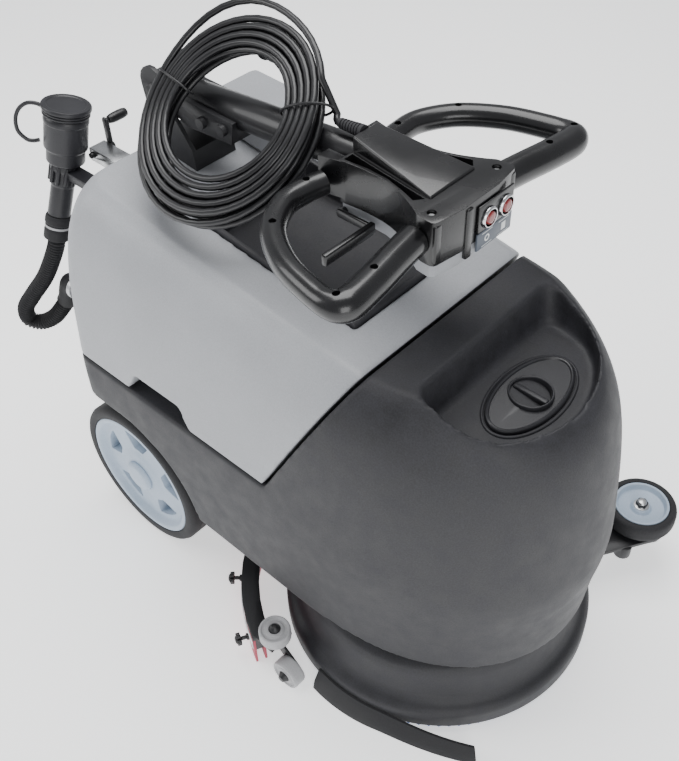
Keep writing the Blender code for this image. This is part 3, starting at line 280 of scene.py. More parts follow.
def spun(profile, centre, axis="Z", steps=64):
    """Draw a profile of (radius, height) by extruding one vertex, then spin it into a solid."""
    clear()
    bpy.ops.mesh.primitive_plane_add(size=0.001, location=(0, 0, 0))
    obj = bpy.context.object
    bpy.ops.object.mode_set(mode="EDIT")
    bpy.ops.mesh.select_all(action="SELECT")
    bpy.ops.mesh.merge(type="CENTER")
    bpy.ops.transform.translate(value=(profile[0][0], 0, profile[0][1]))
    for a, b in zip(profile, profile[1:]):
        bpy.ops.mesh.extrude_region_move(TRANSFORM_OT_translate={"value": (b[0] - a[0], 0, b[1] - a[1])})
    bpy.ops.mesh.select_all(action="SELECT")
    bpy.ops.mesh.spin(steps=steps, angle=2 * math.pi, center=(0, 0, 0), axis=(0, 0, 1), dupli=False)
    bpy.ops.mesh.select_all(action="SELECT")
    bpy.ops.mesh.remove_doubles(threshold=0.00002)
    bpy.ops.mesh.normals_make_consistent(inside=False)
    bpy.ops.object.mode_set(mode="OBJECT")
    if axis == "Y":
        obj.rotation_euler = (math.radians(-90), 0, 0)
    elif axis == "X":
        obj.rotation_euler = (0, math.radians(90), 0)
    elif isinstance(axis, Vector):
        obj.rotation_euler = axis.to_track_quat("Z", "Y").to_euler()
    obj.location = centre
    return obj


def soften(profile, radius, closed=False):
    """Round the corners of a profile with three short steps each."""
    out = []
    count = len(profile)
    for i, (x, y) in enumerate(profile):
        if not closed and i in (0, count - 1):
            out.append((x, y))
            continue
        before, after = Vector(profile[i - 1]), Vector(profile[(i + 1) % count])
        corner = Vector((x, y))
        one, two = before - corner, after - corner
        reach = min(radius, one.length * 0.45, two.length * 0.45)
        a, b = corner + one.normalized() * reach, corner + two.normalized() * reach
        for t in (0.0, 0.33, 0.67, 1.0):
            point = a * (1 - t) ** 2 + corner * 2 * t * (1 - t) + b * t * t
            out.append((max(0.0, point.x), point.y))
    if closed:
        out.append(out[0])
    return out


def union(pieces):
    """Put several pieces together as one object."""
    clear()
    for piece in pieces:
        settle(piece)
    clear()
    for piece in pieces:
        piece.select_set(True)
    bpy.context.view_layer.objects.active = pieces[0]
    bpy.ops.object.join()
    return pieces[0]


# ribbed gland: a cone of rubber with rings along it
GLAND_BASE = at(0.2950, 0.0, 0.7445)
gland_way = (GLAND_TIP - GLAND_BASE).normalized()
ribs = [(0.0, 0.0), (0.0078, 0.0)]
for i in range(8):
    h = 0.002 + i * 0.0042
    r = 0.0078 - 0.0019 * i / 8
    ribs += [(r, h), (r, h + 0.0024), (r - 0.0012, h + 0.0026), (r - 0.0012, h + 0.0040)]
ribs += [(0.0050, 0.0368), (0.0, 0.0368)]
gland = spun(ribs, GLAND_BASE, gland_way, 32)
# moulded rubber: matt, with a faint grain
MOULDED_RUBBER = speckled("moulded_rubber_black", "#17171A", "#26262A", (0.55, 0.70), 1.5, 0.06)
finish(gland, "cord_gland_ribbed", MOULDED_RUBBER, "handle", ["cord_gland"])

# plug: moulded body with two round pins, under the turns of the coil
plug_way = (route[-1] - route[-2]).normalized()
plug_body = spun(soften([(0.0, 0.0), (0.0055, 0.0), (0.0065, 0.010), (0.0125, 0.016), (0.0150, 0.024),
                         (0.0150, 0.038), (0.0185, 0.040), (0.0185, 0.043), (0.0, 0.043)], 0.002),
                 route[-1], plug_way, 32)
side = plug_way.orthogonal().normalized()
pins = [plug_body]
for sign in (-1, 1):
    pins.append(spun(soften([(0.0, 0.0), (0.0024, 0.0), (0.0024, 0.018), (0.0, 0.019)], 0.0008),
                     route[-1] + plug_way * 0.042 + side * 0.0095 * sign, plug_way, 16))
plug = finish(union(pins), "cord_plug", MOULDED_RUBBER, "handle")

# two ties round the bundle of turns
for label, degrees, wide in (("left", 171.0, 0.0265), ("right", 27.0, 0.0290)):
    a = math.radians(degrees)
    out = COIL_U * math.cos(a) + COIL_V * math.sin(a)
    ring = [COIL_MID + out * (0.106 + wide * 1.12 * math.cos(t)) + COIL_N * (0.0172 * math.sin(t))
            for t in [2 * math.pi * k / 28 for k in range(28)]]
    only(round_line("tie", ring, 0.0016, 2, closed=True))
    bpy.ops.object.convert(target="MESH")
    finish(bpy.context.object, "cord_tie_" + label, NYLON_TIE, "handle")


# ================================================================ grey recovery tank
# Rotomoulded polyethylene in satin grey, about 5 mm thick, its sides leaning in towards the top and
# its front edge raked forward; it sits in the black body with an even open joint round it.

# rotomoulded polyethylene: satin, its tone drifting slowly over a hand's width
ROTOMOULDED_GREY = speckled("rotomoulded_polyethylene_grey", "#9A9CA0", "#AAACB0", (0.40, 0.50), 1.6, 0.05,
                            blotch_mm=140.0)
REAR, NOSE, HALF, SKIRT_Z = -0.092, 0.660, 0.2116, 0.135
SEAM_Z, SEAM_FOOT, SEAM_LEAN = 0.345, 0.302, 0.541
EDGE_X, FALL_X = 0.4166, 0.475


def top_height(x):
    """The top slopes down to the front edge of the tank, then level, then down over the nose."""
    if x < EDGE_X:
        return 0.557 + 0.0635 * (EDGE_X - x) / (EDGE_X - REAR)
    return 0.557 if x < FALL_X else 0.557 - 0.32 * (x - FALL_X)


LEVELS = ((0.0, -0.004, -0.014), (0.18, -0.001, -0.008), (0.36, 0.0, 0.0), (0.50, -0.003, -0.003),
          (0.70, -0.010, -0.010), (0.84, -0.021, -0.018), (0.93, -0.036, -0.028), (0.98, -0.052, -0.040),
          (1.0, -0.066, -0.052))


def level_at(share):
    """Inward lean of the side and of the nose at a share of the height, smoothly between the levels."""
    k = max(i for i in range(len(LEVELS) - 1) if LEVELS[i][0] <= share or i == 0)
    a, b = LEVELS[k], LEVELS[k + 1]
    before, after = LEVELS[max(0, k - 1)], LEVELS[min(len(LEVELS) - 1, k + 2)]
    t = (share - a[0]) / (b[0] - a[0])
    out = []
    for j in (1, 2):
        m0 = (b[j] - before[j]) / max(1e-6, b[0] - before[0]) * (b[0] - a[0])
        m1 = (after[j] - a[j]) / max(1e-6, after[0] - a[0]) * (b[0] - a[0])
        out.append((2 * t ** 3 - 3 * t ** 2 + 1) * a[j] + (t ** 3 - 2 * t ** 2 + t) * m0
                   + (-2 * t ** 3 + 3 * t ** 2) * b[j] + (t ** 3 - t ** 2) * m1)
    return out


def plan(half, rear, front):
    """The plan outline: a square rear with round corners, straight sides and a blunt round nose."""
    corner, straight = 0.035, 0.300
    side = [(rear, 0.0), (rear, half * 0.3), (rear, half * 0.6)]
    for i in range(9):
        a = math.radians(90.0 * i / 8)
        side.append((rear + corner - corner * math.cos(a), half - corner + corner * math.sin(a)))
    for i in range(1, 18):
        side.append((rear + corner + (straight - rear - corner) * i / 18, half))
    for i in range(41):
        a = math.radians(90.0 * i / 40)
        side.append((straight + (front - straight) * math.sin(a) ** (2 / 3),
                     half * math.cos(a) if i < 40 else 0.0))
    return [(x, -y) for x, y in side] + list(reversed(side[1:-1]))


def meshed(work, name):
    """Turn a drawn mesh into an object, its faces pointing outwards."""
    bmesh.ops.recalc_face_normals(work, faces=work.faces)
    mesh = bpy.data.meshes.new(name)
    work.to_mesh(mesh)
    work.free()
    obj = bpy.data.objects.new(name, mesh)
    bpy.context.scene.collection.objects.link(obj)
    return obj


def moulding(name):
    """The outer skin that tank and body share, drawn ring by ring from the floor side up."""
    shares = [i / 22 * 0.84 for i in range(23)] + [0.84 + 0.16 * i / 10 for i in range(1, 11)]
    work = bmesh.new()
    rings = []
    for share in shares:
        lean, nose = level_at(share)
        rings.append([work.verts.new(at(x, y, SKIRT_Z + (top_height(x) - SKIRT_Z) * share))
                      for x, y in plan(HALF + lean, REAR - lean * 0.6, NOSE + nose)])
    count = len(rings[0])
    for low, high in zip(rings, rings[1:]):
        for i in range(count):
            work.faces.new((low[i], low[(i + 1) % count], high[(i + 1) % count], high[i]))
    for ring in (rings[0], rings[-1]):
        for i in range(count // 2):
            strip = (ring[i], ring[i + 1], ring[-i - 1], ring[-i])
            work.faces.new([v for k, v in enumerate(strip) if v not in strip[:k]])
    return meshed(work, name)


def prism(outline, y):
    """An outline of (x, z) in the drawing, extruded between two y values."""
    work = bmesh.new()
    face = work.faces.new([work.verts.new(at(x, y[0], z)) for x, z in outline])
    grown = bmesh.ops.extrude_face_region(work, geom=[face])["geom"]
    bmesh.ops.translate(work, verts=[g for g in grown if isinstance(g, bmesh.types.BMVert)],
                        vec=(0, y[1] - y[0], 0))
    return meshed(work, "prism")


def block(x, y, z, bevel=0.001, segments=2):
    """A box between two ends per axis, in the machine's drawing, with rounded edges."""
    clear()
    low, high = at(x[0], y[0], z[0]), at(x[1], y[1], z[1])
    bpy.ops.mesh.primitive_cube_add(size=1.0, location=(low + high) / 2)
    obj = bpy.context.object
    obj.scale = high - low
    bpy.ops.object.transform_apply(location=True, rotation=True, scale=True)
    if bevel:
        bpy.ops.object.mode_set(mode="EDIT")
        bpy.ops.mesh.select_all(action="SELECT")
        bpy.ops.mesh.bevel(offset=bevel, segments=segments, affect="EDGES")
        bpy.ops.object.mode_set(mode="OBJECT")
    return obj


def drum(radius, low, high, centre, axis="Z", steps=64):
    """A plain round tool between two heights along its axis."""
    return spun([(0.0, low), (radius, low), (radius, high), (0.0, high)], centre, axis, steps)


def shaped(obj, other, operation="DIFFERENCE"):
    """Apply one Boolean and remove the tool."""
    mod = obj.modifiers.new("shape", "BOOLEAN")
    mod.operation = operation
    mod.object = other
    mod.solver = "EXACT"
    settle(obj)
    bpy.data.objects.remove(other, do_unlink=True)


def rounded_by_remesh(obj, ratio):
    voxel, rounds, ratio = ((0.003, 5, ratio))
    for kind, values in (("REMESH", {"mode": "VOXEL", "voxel_size": voxel}),
                         ("SMOOTH", {"factor": 0.5, "iterations": rounds}),
                         ("DECIMATE", {"ratio": ratio})):
        mod = obj.modifiers.new(kind.lower(), kind)
        for key, value in values.items():
            setattr(mod, key, value)
    settle(obj)


def seam_tool(grow):
    """All that lies above and behind the joint between tank and body, grown by the joint's gap."""
    low, high = SEAM_Z - grow, 0.75
    lean = grow * math.hypot(1.0, SEAM_LEAN)
    foot = SEAM_FOOT + SEAM_LEAN * (low - SEAM_Z) + lean
    head = SEAM_FOOT + SEAM_LEAN * (high - SEAM_Z) + lean
    return prism([(-0.3, low), (foot, low), (head, high), (-0.3, high)], (-0.35, 0.35))


LID_LOW, LID_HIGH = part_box("tank_lid")
tank = moulding("tank")
shaped(tank, seam_tool(0.0), "INTERSECT")
LID_X = (LID_LOW.x - AXLE_X, LID_HIGH.x - AXLE_X)
LID_HALF = (LID_HIGH.y - LID_LOW.y) / 2
LID_GAP = 0.0008
shaped(tank, block((LID_X[0] - LID_GAP, LID_X[1] + LID_GAP), (-LID_HALF - LID_GAP, LID_HALF + LID_GAP),
                   (0.5352, 0.70), 0))
# finger notches in both lower edges, and the seat of the vacuum motor
for y in ((-0.260, -0.174), (0.174, 0.260)):
    shaped(tank, prism([(0.012, 0.300), (0.056, 0.376), (0.146, 0.376), (0.190, 0.300)], y))
shaped(tank, drum(0.037, 0.0, 0.2, at(0.025, 0.097, 0.53)))
rounded_by_remesh(tank, 0.55)
finish(tank, "recovery_tank_shell", ROTOMOULDED_GREY, "chassis", ["recovery_tank"], 60)


# ================================================================ black lower body with nose tank
# Rotomoulded polyethylene in black with a pebbled mould texture: the nose holds the clean water, a
# tray is sunk into its top, and the sides come down as a skirt with wheel arches.

# the same plastic in black: a coarse pebble that breaks up the highlight
PEBBLED_BLACK = speckled("rotomoulded_polyethylene_black", "#1A1A1D", "#2B2B30", (0.50, 0.66), 1.9, 0.22,
                         blotch_mm=25.0)


def tray_floor(x):
    """Height of the tray floor, which falls a little towards the nose."""
    return 0.508 - 0.12 * (x - 0.489)


def tray_line(rear, front, half):
    """D-shaped plan of the tray: straight at the back and bowed at the front."""
    corner, steps = 0.018, 24
    right = [(rear, -half + corner), (rear + corner * 0.12, -half + corner * 0.55),
             (rear + corner * 0.3, -half + corner * 0.3), (rear + corner * 0.6, -half + corner * 0.1)]
    for i in range(steps + 1):
        a = math.radians(90.0 * i / steps)
        right.append((rear + corner + (front - rear - corner) * math.sin(a) ** 0.75,
                      -half * math.cos(a) ** 1.1 if i < steps else 0.0))
    return right + [(x, -y) for x, y in reversed(right[:-1])]


def lofted(rings):
    """A closed solid through rings of equal count, in the drawing."""
    work = bmesh.new()
    drawn = [[work.verts.new(at(*p)) for p in ring] for ring in rings]
    for low, high in zip(drawn, drawn[1:]):
        for i in range(len(low)):
            j = (i + 1) % len(low)
            work.faces.new((low[i], low[j], high[j], high[i]))
    work.faces.new(list(reversed(drawn[0])))
    work.faces.new(drawn[-1])
    return meshed(work, "lofted")


body = moulding("body")
shaped(body, seam_tool(0.004))
shaped(body, lofted([[(x, y, tray_floor(x)) for x, y in tray_line(0.487, 0.599, 0.113)],
                     [(x, y, tray_floor(x) + 0.006) for x, y in tray_line(0.484, 0.601, 0.1165)],
                     [(x, y, 0.60) for x, y in tray_line(0.462, 0.610, 0.135)]]))
# the hollow of the skirt, both wheel arches, the open rear and the hole for the suction pipe
shaped(body, lofted([[(x, y, height) for x, y in plan(HALF - step, REAR + 0.012, NOSE - step - 0.008)]
                     for height, step in ((0.10, 0.010), (0.30, 0.013))]))
WHEEL_R, ARCH_R = 0.125, 0.142
for sign in (-1, 1):
    shaped(body, drum(ARCH_R, -0.06, 0.06, at(0.0, sign * 0.205, WHEEL_R), "Y", 96))
shaped(body, block((-0.20, 0.02), (-0.30, 0.30), (0.05, 0.265), 0))
shaped(body, drum(0.026, 0.0, 0.04, at(0.155, 0.0, 0.31)))
rounded_by_remesh(body, 0.45)
finish(body, "lower_body_shell", PEBBLED_BLACK, "chassis", ["lower_body"], 60)


# ================================================================ pieces kept from the model
# Steel plates, brackets, lids and covers have the right shape in the frame already; each is copied,
# its flat faces joined and its edges eased, as a deburred or moulded edge is.
def ease_edges(obj, width, segments, angle=30.0):
    """A bevel on every edge sharper than the angle."""
    mod = obj.modifiers.new("edge", "BEVEL")
    mod.width = width
    mod.segments = segments
    mod.limit_method = "ANGLE"
    mod.angle_limit = math.radians(angle)


def eased(name, source, mat, body_name, width, segments=2):
    """A copy of one piece of the frame, with joined flat faces and eased edges."""
    clear()
    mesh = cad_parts[source].data.copy()
    obj = bpy.data.objects.new(name, mesh)
    bpy.context.scene.collection.objects.link(obj)
    only(obj)
    bpy.ops.object.mode_set(mode="EDIT")
    bpy.ops.mesh.select_all(action="SELECT")
    bpy.ops.mesh.remove_doubles(threshold=0.00001)
    bpy.ops.mesh.dissolve_limited(angle_limit=math.radians(1.0))
    bpy.ops.object.mode_set(mode="OBJECT")
    ease_edges(obj, width, segments)
    return finish(obj, name, mat, body_name, [source], 40)


# powder coat is satin and slightly rough, zinc plate is bright and streaked, EPDM rubber is dull
POWDER_COAT = speckled("powder_coated_steel_black", "#19191B", "#242427", (0.38, 0.50), 1.2, 0.05)
ZINC = speckled("zinc_plated_steel", "#B4B6B8", "#D4D5D6", (0.24, 0.40), 1.8, 0.02, metal=1.0)
EPDM = speckled("epdm_rubber_black", "#141416", "#212124", (0.62, 0.78), 1.6, 0.06)
for piece, source, mat, rides, slot, width, segments in (
        ("tank_lid_moulded", "tank_lid", PEBBLED_BLACK, "chassis", "black_shell", 0.003, 3),
        ("vacuum_cover_moulded", "vacuum_cover", ROTOMOULDED_GREY, "chassis", "grey_shell", 0.002, 3),
        ("vacuum_motor_can", "vacuum_motor", POWDER_COAT, "chassis", "black_steel", 0.001, 2),
        ("chassis_plate_pressed", "chassis_plate", POWDER_COAT, "chassis", "black_steel", 0.0008, 2),
        ("rear_axle_bar", "rear_axle", ZINC, "chassis", "steel", 0.001, 2),
        ("suction_hose_run", "suction_hose", EPDM, "chassis", "rubber", 0.0008, 2),
        ("brush_motor_can", "brush_motor", POWDER_COAT, "chassis", "black_steel", 0.0015, 2),
        ("drive_flange_cast", "drive_flange", ZINC, "brush", "steel", 0.001, 2),
        ("brush_disc_plate", "brush_disc", POWDER_COAT, "brush", "black_steel", 0.001, 2),
        ("squeegee_arm_plate", "squeegee_arm", POWDER_COAT, "squeegee", "black_steel", 0.0006, 2),
        ("crank_bracket_block", "crank_bracket", ZINC, "chassis", "steel", 0.0012, 2),
        ("handle_bracket_cheeks", "handle_bracket", POWDER_COAT, "chassis", "black_steel", 0.0015, 3),
        ("handle_knuckle_block", "handle_knuckle", POWDER_COAT, "handle", "black_steel", 0.0025, 3),
        ("handle_post_tube", "handle_post", PVC, "handle", "black_gloss", 0.001, 2)):
    eased(piece, source, mat, rides, width, segments)


# ================================================================ rear wheels
# 250 mm wheels: a solid rubber tyre pressed on a moulded polypropylene rim with five broad spokes and
# a raised hub cap; the rim turns on the fixed axle.

# solid tyre rubber is dull and dusty; polypropylene has a satin sheen
TYRE_RUBBER = speckled("tyre_rubber_black", "#18181A", "#29292C", (0.68, 0.82), 2.2, 0.10, blotch_mm=30.0)
RIM_PLASTIC = speckled("moulded_polypropylene_blue_grey", "#9FAFC0", "#B2C0D0", (0.38, 0.48), 1.5, 0.03,
                       blotch_mm=60.0)
# w is half the width of a wheel, and WHEEL_Y its middle plane
w, WHEEL_Y = 0.022, 0.1864


def wheel_rim(side, centre):
    """Rim ring, hub, cap and five spokes; the tapered openings between the spokes are cut out."""
    disc = [(0.0103, -w + 0.004), (0.030, -w + 0.004), (0.035, -w + 0.014), (0.086, -w + 0.014),
            (0.0925, -w + 0.002), (0.1066, -w + 0.001), (0.1066, w - 0.001), (0.0985, w - 0.0015),
            (0.0950, w - 0.006), (0.0900, w - 0.012), (0.0480, w - 0.010), (0.0400, w - 0.007),
            (0.0290, w - 0.005), (0.0103, w - 0.005)]
    rim = spun(soften([(r, h * side) for r, h in disc], 0.003, closed=True), centre, "Y", 80)
    for i in range(5):
        a = 2 * math.pi * (i + 0.237) / 5
        opening = []
        for radius, spread in ((0.052, 11.0), (0.082, -20.5)):
            for k in range(7):
                b = a + math.radians(-spread + 2 * spread * k / 6)
                opening.append((radius * math.cos(b), WHEEL_R + radius * math.sin(b)))
        tool = prism(opening, (side * WHEEL_Y - 0.03, side * WHEEL_Y + 0.03))
        ease_edges(tool, 0.006, 4, 50.0)
        settle(tool)
        shaped(rim, tool)
    ease_edges(rim, 0.0012, 2, 50.0)
    cap = spun(soften([(0.0, 0.0), (0.0265, 0.0), (0.0265, 0.004), (0.0225, 0.0085), (0.0, 0.0100)], 0.003),
               centre + Vector((0, side * (w - 0.0052), 0)), Vector((0, side, 0)), 48)
    return union([rim, cap])


for label, side in (("right", -1), ("left", 1)):
    centre = at(0.0, side * WHEEL_Y, WHEEL_R)
    finish(wheel_rim(side, centre), "rim_moulded_" + label, RIM_PLASTIC, "wheel_" + label,
           ["rim_" + label], 40)
    # half of the tread from its edge to the groove beside the middle rib; the other half mirrors it
    tread = [(0.1070, -w + 0.001), (0.1125, -w), (0.1185, -w), (0.1225, -w + 0.003), (0.1250, -w + 0.008),
             (0.1250, -0.0062), (0.1238, -0.0055), (0.1238, -0.0045), (0.1250, -0.0038)]
    tread += [(r, -h) for r, h in reversed(tread)]
    tyre = spun(tread + [tread[0]], centre, "Y", 96)
    finish(tyre, "tyre_solid_" + label, TYRE_RUBBER, "wheel_" + label, ["tyre_" + label], 40)


# ================================================================ brush deck, bristles and splash strip
# A round polyethylene deck with a raised shoulder and a rolled rim; under it tufts of nylon in a disc,
# and on the right a rubber strip that keeps splashes in.
BRUSH_X = 0.429
BRUSH = at(BRUSH_X, 0.0, 0.0)
deck_line = [(0.050, 0.1178), (0.184, 0.1178), (0.196, 0.110), (0.2010, 0.098), (0.2040, 0.078),
             (0.2070, 0.062), (0.2130, 0.0525), (0.2215, 0.0470), (0.2262, 0.0400), (0.2262, 0.0145),
             (0.2200, 0.0145), (0.2200, 0.0340), (0.2110, 0.0440), (0.2010, 0.0570), (0.1972, 0.0790),
             (0.1915, 0.1030), (0.182, 0.111), (0.050, 0.111)]
deck = spun(soften(deck_line, 0.004, closed=True), BRUSH, "Z", 128)
finish(deck, "brush_deck_moulded", PEBBLED_BLACK, "chassis", ["brush_deck"], 50)

# bristle tufts of bright blue nylon, drawn in rings over the disc: each is tapered and splays outwards
NYLON_BRISTLE = speckled("nylon_bristle_blue", "#1C4C9A", "#3A72C4", (0.55, 0.70), 2.5, 0.20)
tufts = bmesh.new()
for row, radius in enumerate([0.078 + 0.0128 * k for k in range(10)]):
    count = int(2 * math.pi * radius / 0.0125)
    for k in range(count):
        a = 2 * math.pi * (k + 0.5 * (row % 2)) / count
        lean = 1.0 + 0.105 * (radius / 0.193)
        top = BRUSH + Vector((radius * math.cos(a), radius * math.sin(a), 0.0496))
        foot = BRUSH + Vector((radius * lean * math.cos(a), radius * lean * math.sin(a), 0.0004))
        rings = []
        for place, wide in ((top, 0.0030), (foot, 0.0058)):
            rings.append([tufts.verts.new(place + Vector((wide * math.cos(t), wide * math.sin(t), 0)))
                          for t in [2 * math.pi * q / 7 for q in range(7)]])
        for q in range(7):
            tufts.faces.new((rings[0][q], rings[1][q], rings[1][(q + 1) % 7], rings[0][(q + 1) % 7]))
        tufts.faces.new(rings[0])
        tufts.faces.new(list(reversed(rings[1])))
finish(meshed(tufts, "bristles"), "brush_tufts", NYLON_BRISTLE, "brush", ["brush_bristles"], 50)

# the strip follows the deck, then leaves it in a straighter line and gets lower
STRIP_STEPS = 72
strip_rings = []
for i in range(STRIP_STEPS + 1):
    t = i / STRIP_STEPS
    a = math.radians(-97.0 + 57.0 * t)
    away = 0.085 * max(0.0, t - 0.45) ** 1.6
    tall = 0.036 - 0.014 * t
    ring = []
    for r, h in ((0.2395, 0.0), (0.2430, 0.0), (0.2400, tall * 0.45), (0.2305, tall), (0.2270, tall),
                 (0.2350, tall * 0.45)):
        ring.append((BRUSH_X + (r + away) * math.cos(a), (r + away) * math.sin(a), h + 0.0006))
    strip_rings.append(ring)
finish(lofted(strip_rings), "splash_strip_rubber", EPDM, "chassis", ["splash_strip"], 40)


# ================================================================ squeegee
# A curved steel channel behind the brush holds two red rubber blades under a steel band; the band is
# clamped by four hand knobs, and rollers at each end guide it along walls and over the floor.

# gum rubber is a soft satin red, polyethylene is waxy, and phenolic knobs are smooth and glossy
RED_BLADE = speckled("gum_rubber_red", "#A83247", "#C04A60", (0.45, 0.60), 1.4, 0.05)
ROLLER_NYLON = speckled("roller_polyethylene_grey", "#A4A4A6", "#B8B8BA", (0.42, 0.52), 1.4, 0.04)
KNOB_PHENOLIC = speckled("moulded_knob_black", "#141416", "#1E1E20", (0.30, 0.42), 1.4, 0.03)


def along_squeegee(section, half_angle):
    """A section of (radius, height) swept along the squeegee's arc behind the brush."""
    rings, steps = [], 64
    for i in range(steps + 1):
        a = math.radians(180.0 - half_angle + 2.0 * half_angle * i / steps)
        rings.append([(BRUSH_X + r * math.cos(a), r * math.sin(a), h) for r, h in section])
    return lofted(rings)


for label, near in (("rear", 0.2889), ("front", 0.2748)):
    blade = [(near, 0.0006), (near + 0.0016, 0.0), (near + 0.0033, 0.0006), (near + 0.0033, 0.0556),
             (near, 0.0556)]
    finish(along_squeegee(blade, 65.8), "blade_%s_rubber" % label, RED_BLADE, "squeegee",
           ["blade_" + label], 30)
finish(along_squeegee([(0.2927, 0.0340), (0.2940, 0.0346), (0.2940, 0.0494), (0.2927, 0.0500)], 65.4),
       "blade_band_steel", ZINC, "squeegee", ["blade_band"], 30)
eased("squeegee_frame_channel", "squeegee_frame", POWDER_COAT, "squeegee", 0.0006)

# hand knobs: a stem with a flange, and five lobes round its head
for label, side in (("right", -1), ("left", 1)):
    for i, degrees in enumerate((222.0, 242.0)):
        a = math.radians(degrees if side < 0 else 360.0 - degrees)
        out = Vector((math.cos(a), math.sin(a), 0.0))
        foot = BRUSH + out * 0.2944 + Vector((0, 0, 0.042))
        stem = spun(soften([(0.0, 0.0), (0.0052, 0.0), (0.0052, 0.003), (0.0030, 0.0035), (0.0030, 0.011),
                            (0.0052, 0.0115), (0.0062, 0.0185), (0.0040, 0.0200), (0.0, 0.0203)], 0.0008),
                    foot, out, 24)
        pieces = [stem]
        for k in range(5):
            t = 2 * math.pi * k / 5
            lobe_at = (foot + out * 0.0112 + Vector((0, 0, 1)) * 0.0062 * math.cos(t)
                       + out.cross(Vector((0, 0, 1))) * 0.0062 * math.sin(t))
            pieces.append(spun(soften([(0.0, 0.0), (0.0036, 0.0), (0.0036, 0.0062), (0.0, 0.0066)], 0.001),
                               lobe_at, out, 14))
        knob = "knob_%s_%d" % (label, i + 1)
        finish(union(pieces), "hand_" + knob, KNOB_PHENOLIC, knob, [knob], 40)

# one face of a roller with its recess; the other face mirrors it
ROLLER = [(0.0063, -0.0098), (0.0130, -0.0098), (0.0140, -0.0080), (0.0180, -0.0080), (0.0190, -0.0100),
          (0.0220, -0.0100), (0.0230, -0.0070)]
ROLLER = soften(ROLLER + [(r, -h) for r, h in reversed(ROLLER)], 0.001, closed=True)
for label, side in (("right", -1), ("left", 1)):
    finish(spun(ROLLER, at(0.331, side * 0.2425, 0.0738), "Z", 56), "wall_roller_turned_" + label,
           ROLLER_NYLON, "wall_roller_" + label, ["wall_roller_" + label], 40)
    finish(spun(ROLLER, at(0.366, side * 0.254, 0.0235), "Y", 56), "floor_roller_turned_" + label,
           ROLLER_NYLON, "floor_roller_" + label, ["floor_roller_" + label], 40)


# ================================================================ bumper wheel at the left front
# A flat powder-coated arm carries a horizontal wheel: soft black tyre on a dished blue-grey hub,
# held by a plated dome nut.
BUMPER = at(0.607, 0.2675, 0.0978)
eased("bumper_arm_plate", "bumper_arm", POWDER_COAT, "chassis", 0.0010, 2)
tyre = [(0.0410, -0.0138), (0.0450, -0.0155), (0.0510, -0.0130), (0.0530, -0.0070)]
tyre = soften(tyre + [(r, -h) for r, h in reversed(tyre)], 0.003, closed=True)
finish(spun(tyre, BUMPER, "Z", 80), "bumper_tyre_soft", TYRE_RUBBER, "bumper_wheel",
       ["bumper_tyre"], 40)
hub_line = soften([(0.0063, -0.0158), (0.0140, -0.0158), (0.0160, -0.0040), (0.0340, -0.0040),
                   (0.0360, -0.0134), (0.0407, -0.0134), (0.0407, 0.0150), (0.0368, 0.0150),
                   (0.0345, 0.0052), (0.0160, 0.0036), (0.0128, 0.0098), (0.0063, 0.0098)],
                  0.0016, closed=True)
finish(spun(hub_line, BUMPER, "Z", 72), "bumper_hub_moulded", RIM_PLASTIC, "bumper_wheel",
       ["bumper_hub"], 40)
nut = spun(soften([(0.0, 0.0), (0.0115, 0.0), (0.0115, 0.0012), (0.0078, 0.0014), (0.0078, 0.0062),
                   (0.0058, 0.0092), (0.0, 0.0110)], 0.0008), BUMPER + Vector((0, 0, 0.0101)), "Z", 32)
finish(nut, "bumper_dome_nut", ZINC, "chassis")


# ================================================================ filling cap on the nose tray
# An oval screw-down lid of black polypropylene with a raised rim and a round finger well, crossed by
# a bar that is gripped to lift it.
CAP_X, CAP_A, CAP_B = 0.542, 0.0362, 0.0723


def oval(half_x, half_y, lift):
    """An oval ring round the middle of the cap, lifted from the sloping tray floor."""
    ring = []
    for a in [2 * math.pi * i / 72 for i in range(72)]:
        x = CAP_X + half_x * math.cos(a)
        ring.append((x, half_y * math.sin(a), tray_floor(x) + lift))
    return ring


def oval_lid(steps):
    """A solid through ovals that are each grown from the cap's edge and lifted."""
    return lofted([oval(CAP_A + grow, CAP_B + grow, lift) for grow, lift in steps])


# polypropylene of the caps and spout: a satin black
SATIN_PP = speckled("moulded_polypropylene_black", "#1C1C1F", "#29292D", (0.34, 0.46), 1.3, 0.05)
cap = oval_lid([(-0.0010, 0.0004), (0.0, 0.0012), (0.0, 0.0035), (-0.0010, 0.0050), (-0.0030, 0.0058),
                (-0.0045, 0.0052), (-0.0055, 0.0034), (-0.0080, 0.0034)])
well_top = tray_floor(CAP_X)
shaped(cap, lofted([oval(0.0275, 0.0605, -0.014), oval(0.0275, 0.0605, 0.0020)]), "UNION")
collar = spun(soften([(0.0262, -0.004), (0.0270, 0.0030), (0.0262, 0.0062), (0.0245, 0.0066),
                      (0.0235, 0.0050), (0.0235, -0.004)], 0.0008, closed=True),
              at(CAP_X, 0, well_top + 0.001), "Z", 64)
shaped(cap, collar, "UNION")
shaped(cap, spun([(0.0, -0.010), (0.0215, -0.010), (0.0235, 0.002), (0.0235, 0.03), (0.0, 0.03)],
                 at(CAP_X, 0, well_top), "Z", 64))
ease_edges(cap, 0.0006, 1, 50.0)
bar = block((CAP_X - 0.0232, CAP_X + 0.0232), (-0.0038, 0.0038), (well_top - 0.0110, well_top + 0.0056),
            0.0022, 4)
finish(union([cap, bar]), "fill_cap_moulded", SATIN_PP, "fill_cap", ["fill_cap"], 35)
# moulded ring round the mouth in the tray floor
lip = oval_lid([(0.0052, 0.0002), (0.0048, 0.0014), (0.0030, 0.0020), (0.0018, 0.0018), (0.0012, 0.0006)])
shaped(lip, oval_lid([(0.0008, -0.010), (0.0008, 0.010)]))
finish(lip, "fill_mouth_lip", PEBBLED_BLACK, "chassis", (), 60)


